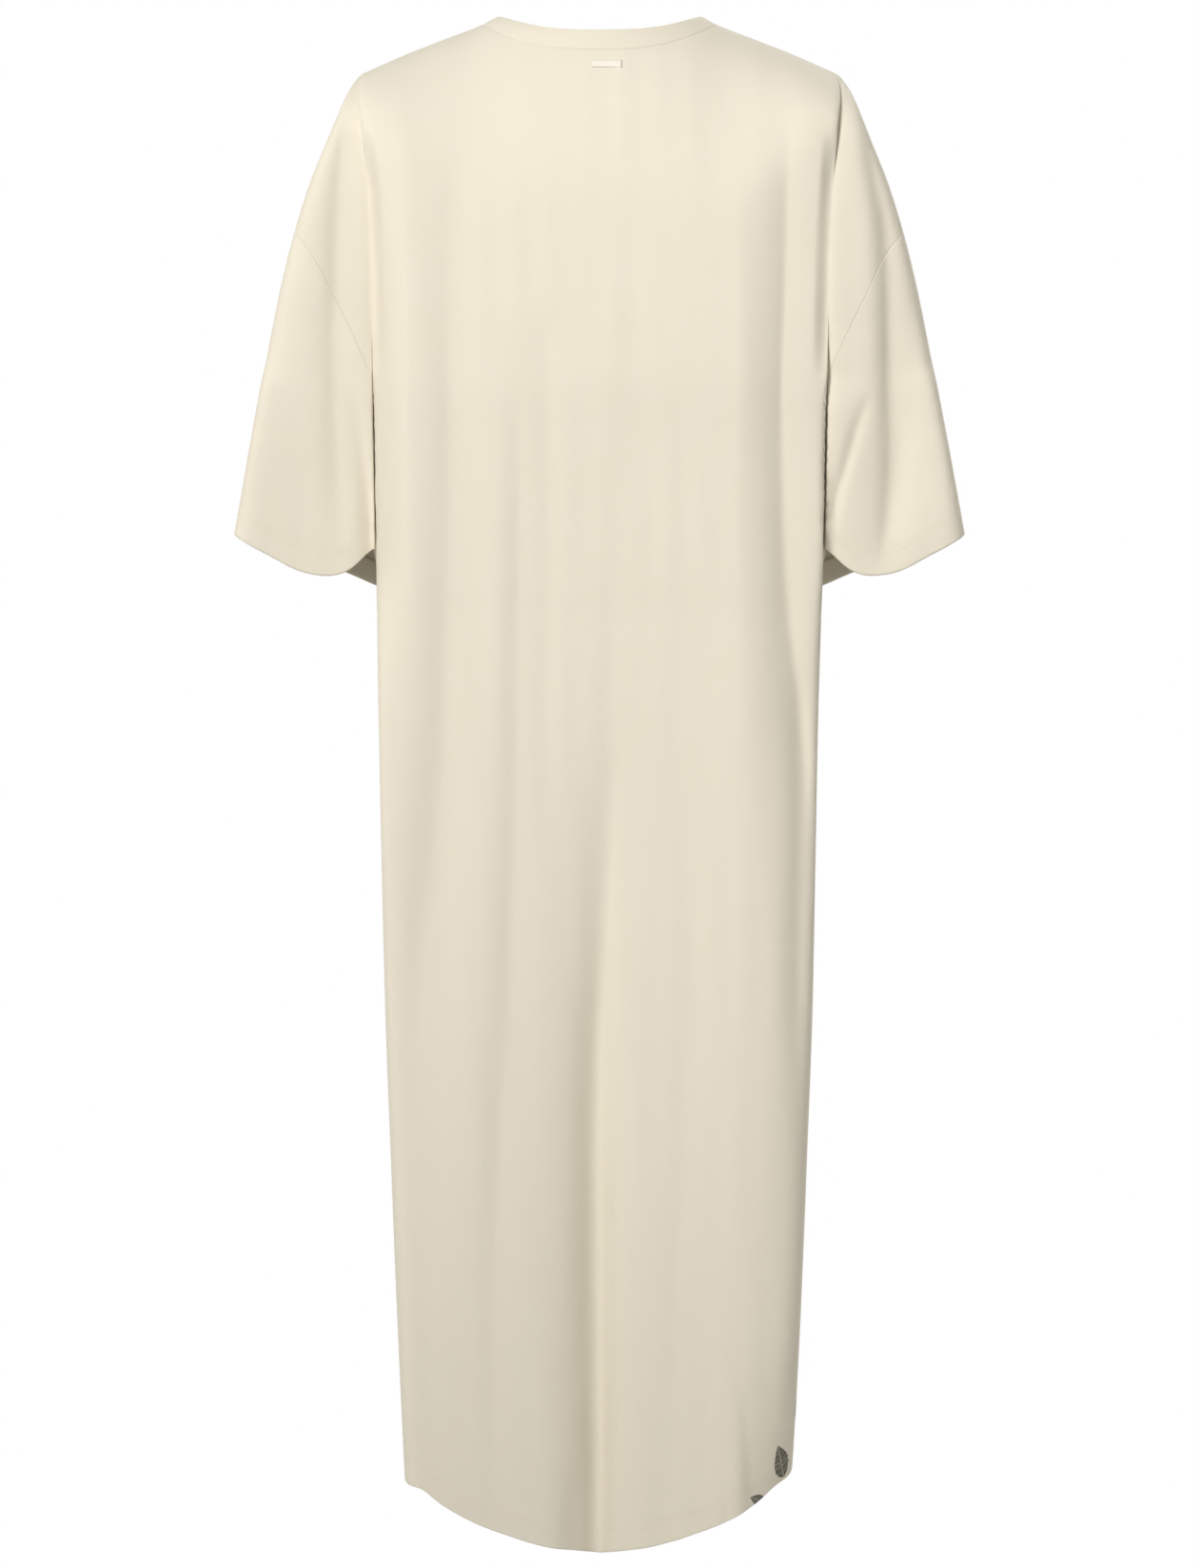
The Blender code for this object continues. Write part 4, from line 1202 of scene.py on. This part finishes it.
def knit_group():
    """Jersey seen close: columns of small V stitches, a little uneven yarn, and fine fuzz."""
    wale_width, course_height = JERSEY_GAUGE
    inputs = [
        ("Cloth", "NodeSocketVector", None),
        ("Wale", "NodeSocketFloat", wale_width),
        ("Course", "NodeSocketFloat", course_height),
    ]
    group, given, out = new_group("jersey_knit", inputs, ["Height", "Shade"])
    cloth = given.outputs["Cloth"]
    across, down = split(group, cloth)
    course = maths(group, "DIVIDE", down, given.outputs["Course"])
    in_wale = maths(group, "FRACT", maths(group, "DIVIDE", across, given.outputs["Wale"]))
    off_middle = maths(group, "ABSOLUTE", maths(group, "SUBTRACT", in_wale, 0.5))
    leg = maths(group, "SINE", maths(group, "MULTIPLY", in_wale, math.pi))
    slant = maths(group, "MULTIPLY_ADD", off_middle, LOOP_SLANT, course)
    loop = maths(group, "SINE", maths(group, "MULTIPLY", slant, math.tau))
    thickness = maths(group, "MULTIPLY_ADD", loop, LOOP_SWELL, 1 - LOOP_SWELL)
    loops = maths(group, "MULTIPLY", leg, thickness)
    fuzz = noise(group, cloth, FUZZ_SCALE, FUZZ_DETAIL)
    height = maths(group, "MULTIPLY_ADD", fuzz, FUZZ_HEIGHT, loops)
    group.links.new(height, out.inputs["Height"])

    yarn = noise(group, vector_maths(group, "MULTIPLY", cloth, YARN_SCALE), 1, YARN_DETAIL)
    patches = noise(group, cloth, PATCH_SCALE, PATCH_DETAIL)
    soft = maths(group, "MULTIPLY", patches, 1 - YARN_SHARE)
    shade = maths(group, "MULTIPLY_ADD", yarn, YARN_SHARE, soft)
    group.links.new(shade, out.inputs["Shade"])
    return group


def leaf_group():
    """One leaf by formula: a pointed oval with a toothed edge, a midrib and side veins."""
    inputs = [
        ("Print", "NodeSocketVector", None),
        ("Centre", "NodeSocketVector", None),
        ("Turn", "NodeSocketFloat", 0.0),
        ("Length", "NodeSocketFloat", 0.04),
        ("Width", "NodeSocketFloat", 0.015),
    ]
    group, given, out = new_group("printed_leaf", inputs, ["Leaf", "Vein"])
    turned = group.nodes.new("ShaderNodeVectorRotate")
    turned.rotation_type = "Z_AXIS"
    moved = vector_maths(group, "SUBTRACT", given.outputs["Print"], given.outputs["Centre"])
    group.links.new(moved, turned.inputs["Vector"])
    group.links.new(given.outputs["Turn"], turned.inputs["Angle"])
    beside, up = split(group, turned.outputs[0])
    along_leaf = maths(group, "ADD", maths(group, "DIVIDE", up, given.outputs["Length"]), 0.5)
    inside = maths(group, "MINIMUM", maths(group, "MAXIMUM", along_leaf, 0.0), 1.0)
    across = maths(group, "DIVIDE", maths(group, "ABSOLUTE", beside), given.outputs["Width"])
    lowered = maths(group, "POWER", inside, LEAF_BROAD_LOW)
    swell = maths(group, "SINE", maths(group, "MULTIPLY", lowered, math.pi))
    slant = maths(group, "MULTIPLY", across, VEIN_SLANT)
    veins = maths(group, "FRACT", maths(group, "MULTIPLY_ADD", inside, LEAF_VEINS, slant))
    teeth = maths(group, "MULTIPLY_ADD", veins, LEAF_TEETH, 1.0)
    edge = maths(group, "MULTIPLY", maths(group, "MULTIPLY", swell, 0.5), teeth)
    leaf = maths(group, "GREATER_THAN", edge, across)
    rib = maths(group, "LESS_THAN", across, MIDRIB_WIDTH)
    vein = maths(group, "MAXIMUM", rib, maths(group, "LESS_THAN", veins, VEIN_WIDTH))
    group.links.new(leaf, out.inputs["Leaf"])
    group.links.new(maths(group, "MULTIPLY", vein, leaf), out.inputs["Vein"])
    return group


def fabric(name, knit, gauge, colours, leaf=None):
    """Matt cotton: the knit's height and shade, with leaves printed on it where asked."""
    material = bpy.data.materials.new(name)
    material.use_nodes = True
    tree = material.node_tree
    shader = tree.nodes["Principled BSDF"]
    for socket, value in MATT_COTTON.items():
        shader.inputs[socket].default_value = value
    cloth = tree.nodes.new("ShaderNodeUVMap")
    cloth.uv_map = "cloth"
    knitted = tree.nodes.new("ShaderNodeGroup")
    knitted.node_tree = knit
    for socket, value in zip(("Wale", "Course"), gauge):
        knitted.inputs[socket].default_value = value
    tree.links.new(cloth.outputs[0], knitted.inputs["Cloth"])
    light, dark = colours
    colour = between(tree, knitted.outputs["Shade"], dark, light)
    if leaf:
        colour = print_leaves(tree, leaf, colour)
    tree.links.new(colour, shader.inputs["Base Color"])
    relief = tree.nodes.new("ShaderNodeBump")
    for socket, value in KNIT_RELIEF.items():
        relief.inputs[socket].default_value = value
    tree.links.new(knitted.outputs["Height"], relief.inputs["Height"])
    tree.links.new(relief.outputs[0], shader.inputs["Normal"])
    return material


def print_leaves(tree, leaf, ground):
    """The ground colour with the table's leaves printed over it."""
    place = tree.nodes.new("ShaderNodeUVMap")
    place.uv_map = "print"
    leaves, veins = 0.0, 0.0
    for across, drop, turn, length, width in zip(*LEAVES.values()):
        one = tree.nodes.new("ShaderNodeGroup")
        one.node_tree = leaf
        one.inputs["Centre"].default_value = (across, -drop, 0)
        one.inputs["Turn"].default_value = math.radians(turn)
        one.inputs["Length"].default_value = length
        one.inputs["Width"].default_value = width
        tree.links.new(place.outputs[0], one.inputs["Print"])
        leaves = maths(tree, "MAXIMUM", one.outputs["Leaf"], leaves)
        veins = maths(tree, "MAXIMUM", one.outputs["Vein"], veins)
    ink = between(tree, veins, LEAF_GREY, LEAF_VEIN)
    return between(tree, leaves, ground, ink)


# ---- Stitches ----


def stitch_tree():
    """Geometry nodes that lay a row of stitches along lines."""
    tree = bpy.data.node_groups.new("row_of_stitches", "GeometryNodeTree")
    tree.interface.new_socket("Geometry", in_out="INPUT", socket_type="NodeSocketGeometry")
    for name, value in HEM_STITCH.items():
        size = tree.interface.new_socket(name, in_out="INPUT", socket_type="NodeSocketFloat")
        size.default_value = value
    tree.interface.new_socket("Material", in_out="INPUT", socket_type="NodeSocketMaterial")
    tree.interface.new_socket("Geometry", in_out="OUTPUT", socket_type="NodeSocketGeometry")
    given, out = tree.nodes.new("NodeGroupInput"), tree.nodes.new("NodeGroupOutput")
    line = tree.nodes.new("GeometryNodeMeshToCurve")
    spaced = tree.nodes.new("GeometryNodeResampleCurve")
    spaced.mode = "LENGTH"
    pitch = maths(tree, "ADD", given.outputs["Stitch"], given.outputs["Gap"])
    tangent = tree.nodes.new("GeometryNodeInputTangent")
    facing = tree.nodes.new("FunctionNodeAlignRotationToVector")
    facing.axis = "X"
    thread = tree.nodes.new("GeometryNodeMeshUVSphere")
    thread.inputs["Segments"].default_value = THREAD_SIDES
    thread.inputs["Rings"].default_value = THREAD_RINGS
    thread.inputs["Radius"].default_value = 0.5
    shape = tree.nodes.new("ShaderNodeCombineXYZ")
    laid = tree.nodes.new("GeometryNodeInstanceOnPoints")
    real = tree.nodes.new("GeometryNodeRealizeInstances")
    smooth = tree.nodes.new("GeometryNodeSetShadeSmooth")
    finish = tree.nodes.new("GeometryNodeSetMaterial")
    for source, socket in (
        (given.outputs["Geometry"], line.inputs["Mesh"]),
        (line.outputs[0], spaced.inputs["Curve"]),
        (pitch, spaced.inputs["Length"]),
        (tangent.outputs[0], facing.inputs["Vector"]),
        (given.outputs["Stitch"], shape.inputs["X"]),
        (given.outputs["Thread"], shape.inputs["Y"]),
        (given.outputs["Thread"], shape.inputs["Z"]),
        (spaced.outputs[0], laid.inputs["Points"]),
        (thread.outputs["Mesh"], laid.inputs["Instance"]),
        (facing.outputs[0], laid.inputs["Rotation"]),
        (shape.outputs[0], laid.inputs["Scale"]),
        (laid.outputs[0], real.inputs[0]),
        (real.outputs[0], smooth.inputs[0]),
        (smooth.outputs[0], finish.inputs["Geometry"]),
        (given.outputs["Material"], finish.inputs["Material"]),
        (finish.outputs[0], out.inputs[0]),
    ):
        tree.links.new(source, socket)
    return tree


def sew(name, tree, lines, material, sizes=HEM_STITCH):
    """Stitches along lines of points, as one piece."""
    starts = np.cumsum([0] + [len(line) for line in lines])
    edges = [(i, i + 1) for a, b in zip(starts[:-1], starts[1:]) for i in range(a, b - 1)]
    mesh = bpy.data.meshes.new(name + "_lines")
    mesh.from_pydata(np.concatenate(lines).tolist(), edges, [])
    guide = put_in_scene(name + "_lines", mesh)
    sewing = guide.modifiers.new("Stitches", "NODES")
    sewing.node_group = tree
    values = {**sizes, "Material": material}
    for item in tree.interface.items_tree:
        if item.in_out == "INPUT" and item.name in values:
            sewing[item.identifier] = values[item.name]
    depsgraph = bpy.context.evaluated_depsgraph_get()
    made = bpy.data.meshes.new_from_object(guide.evaluated_get(depsgraph))
    bpy.data.objects.remove(guide)
    made.name = name
    piece = put_in_scene(name, made)
    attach(piece, "root")
    return piece


# ---- Camera, light and floor ----


def set_camera():
    data = bpy.data.cameras.new("camera")
    data.sensor_width = SENSOR_WIDTH
    data.lens = LENS
    camera = put_in_scene("camera", data)
    camera.location = CAMERA_PLACE
    camera.rotation_euler = (math.radians(90 - CAMERA_TILT), 0, math.radians(180))
    bpy.context.scene.camera = camera


def soft_box(name, place, aim, size, power, colour, spread):
    data = bpy.data.lights.new(name, "AREA")
    data.shape = "RECTANGLE"
    data.size, data.size_y = size
    data.energy = power
    data.color = colour
    data.spread = math.radians(spread)
    box = put_in_scene(name, data)
    box.location = place
    x, y, z = np.array(aim) - np.array(place)
    box.rotation_euler = (math.atan2(math.hypot(x, y), -z), 0, math.atan2(-x, y))


def show_camera(tree, seen, lit, surface):
    """Lets the camera see one shader where the light meets another."""
    path = tree.nodes.new("ShaderNodeLightPath")
    choose = tree.nodes.new("ShaderNodeMixShader")
    tree.links.new(path.outputs["Is Camera Ray"], choose.inputs[0])
    tree.links.new(lit.outputs[0], choose.inputs[1])
    tree.links.new(seen.outputs[0], choose.inputs[2])
    tree.links.new(choose.outputs[0], surface)


def set_lights():
    scene = bpy.context.scene
    scene.view_settings.view_transform = "Standard"
    world = bpy.data.worlds.new("studio")
    world.use_nodes = True
    tree = world.node_tree
    sky = tree.nodes["Background"]
    sky.inputs["Color"].default_value = SKY
    sky.inputs["Strength"].default_value = SKY_STRENGTH
    seen = tree.nodes.new("ShaderNodeBackground")
    seen.inputs["Color"].default_value = WHITE
    show_camera(tree, seen, sky, tree.nodes["World Output"].inputs["Surface"])
    scene.world = world
    for name, values in SOFT_BOXES.items():
        soft_box(name, *values)


def set_floor():
    mesh = bpy.data.meshes.new("floor")
    ends = ((-1, -1), (1, -1), (1, 1), (-1, 1))
    corners = [(x * FLOOR_REACH, y * FLOOR_REACH, FLOOR_HEIGHT) for x, y in ends]
    mesh.from_pydata(corners, [], [(0, 1, 2, 3)])
    floor = put_in_scene("floor", mesh)
    material = bpy.data.materials.new("pale_floor")
    material.use_nodes = True
    tree = material.node_tree
    lit = tree.nodes["Principled BSDF"]
    lit.inputs["Base Color"].default_value = FLOOR
    lit.inputs["Roughness"].default_value = FLOOR_ROUGHNESS
    seen = tree.nodes.new("ShaderNodeEmission")
    seen.inputs["Color"].default_value = WHITE
    show_camera(tree, seen, lit, tree.nodes["Material Output"].inputs["Surface"])
    mesh.materials.append(material)


def main():
    set_camera()
    set_floor()
    set_lights()
    knit, leaf = knit_group(), leaf_group()
    jersey = fabric("cream_jersey", knit, JERSEY_GAUGE, CREAM)
    printed = fabric("printed_jersey", knit, JERSEY_GAUGE, CREAM, leaf)
    rib = fabric("cream_rib", knit, RIB_GAUGE, CREAM)
    thread = fabric("cream_thread", knit, FINE_GAUGE, CREAM)
    smooth_tape = fabric("light_tape", knit, FINE_GAUGE, LIGHT_TAPE)
    back, back_lines = make_panel("back_cloth", BACK, "back_panel", printed)
    front, front_lines = make_panel("front_cloth", FRONT, "front_panel", printed)
    left, left_lines = make_sleeve("left_sleeve", LEFT, "sleeve_left", jersey)
    right, right_lines = make_sleeve("right_sleeve", RIGHT, "sleeve_right", jersey)
    band = make_neckband(rib)
    tape, tack_lines = make_tape(smooth_tape)
    stitches = stitch_tree()
    hem_stitches = sew("hem_stitches", stitches, back_lines + front_lines, thread)
    cuff_stitches = sew("cuff_stitches", stitches, left_lines + right_lines, thread)
    tacks = sew("tape_tacks", stitches, tack_lines, thread, TACK_STITCH)


main()
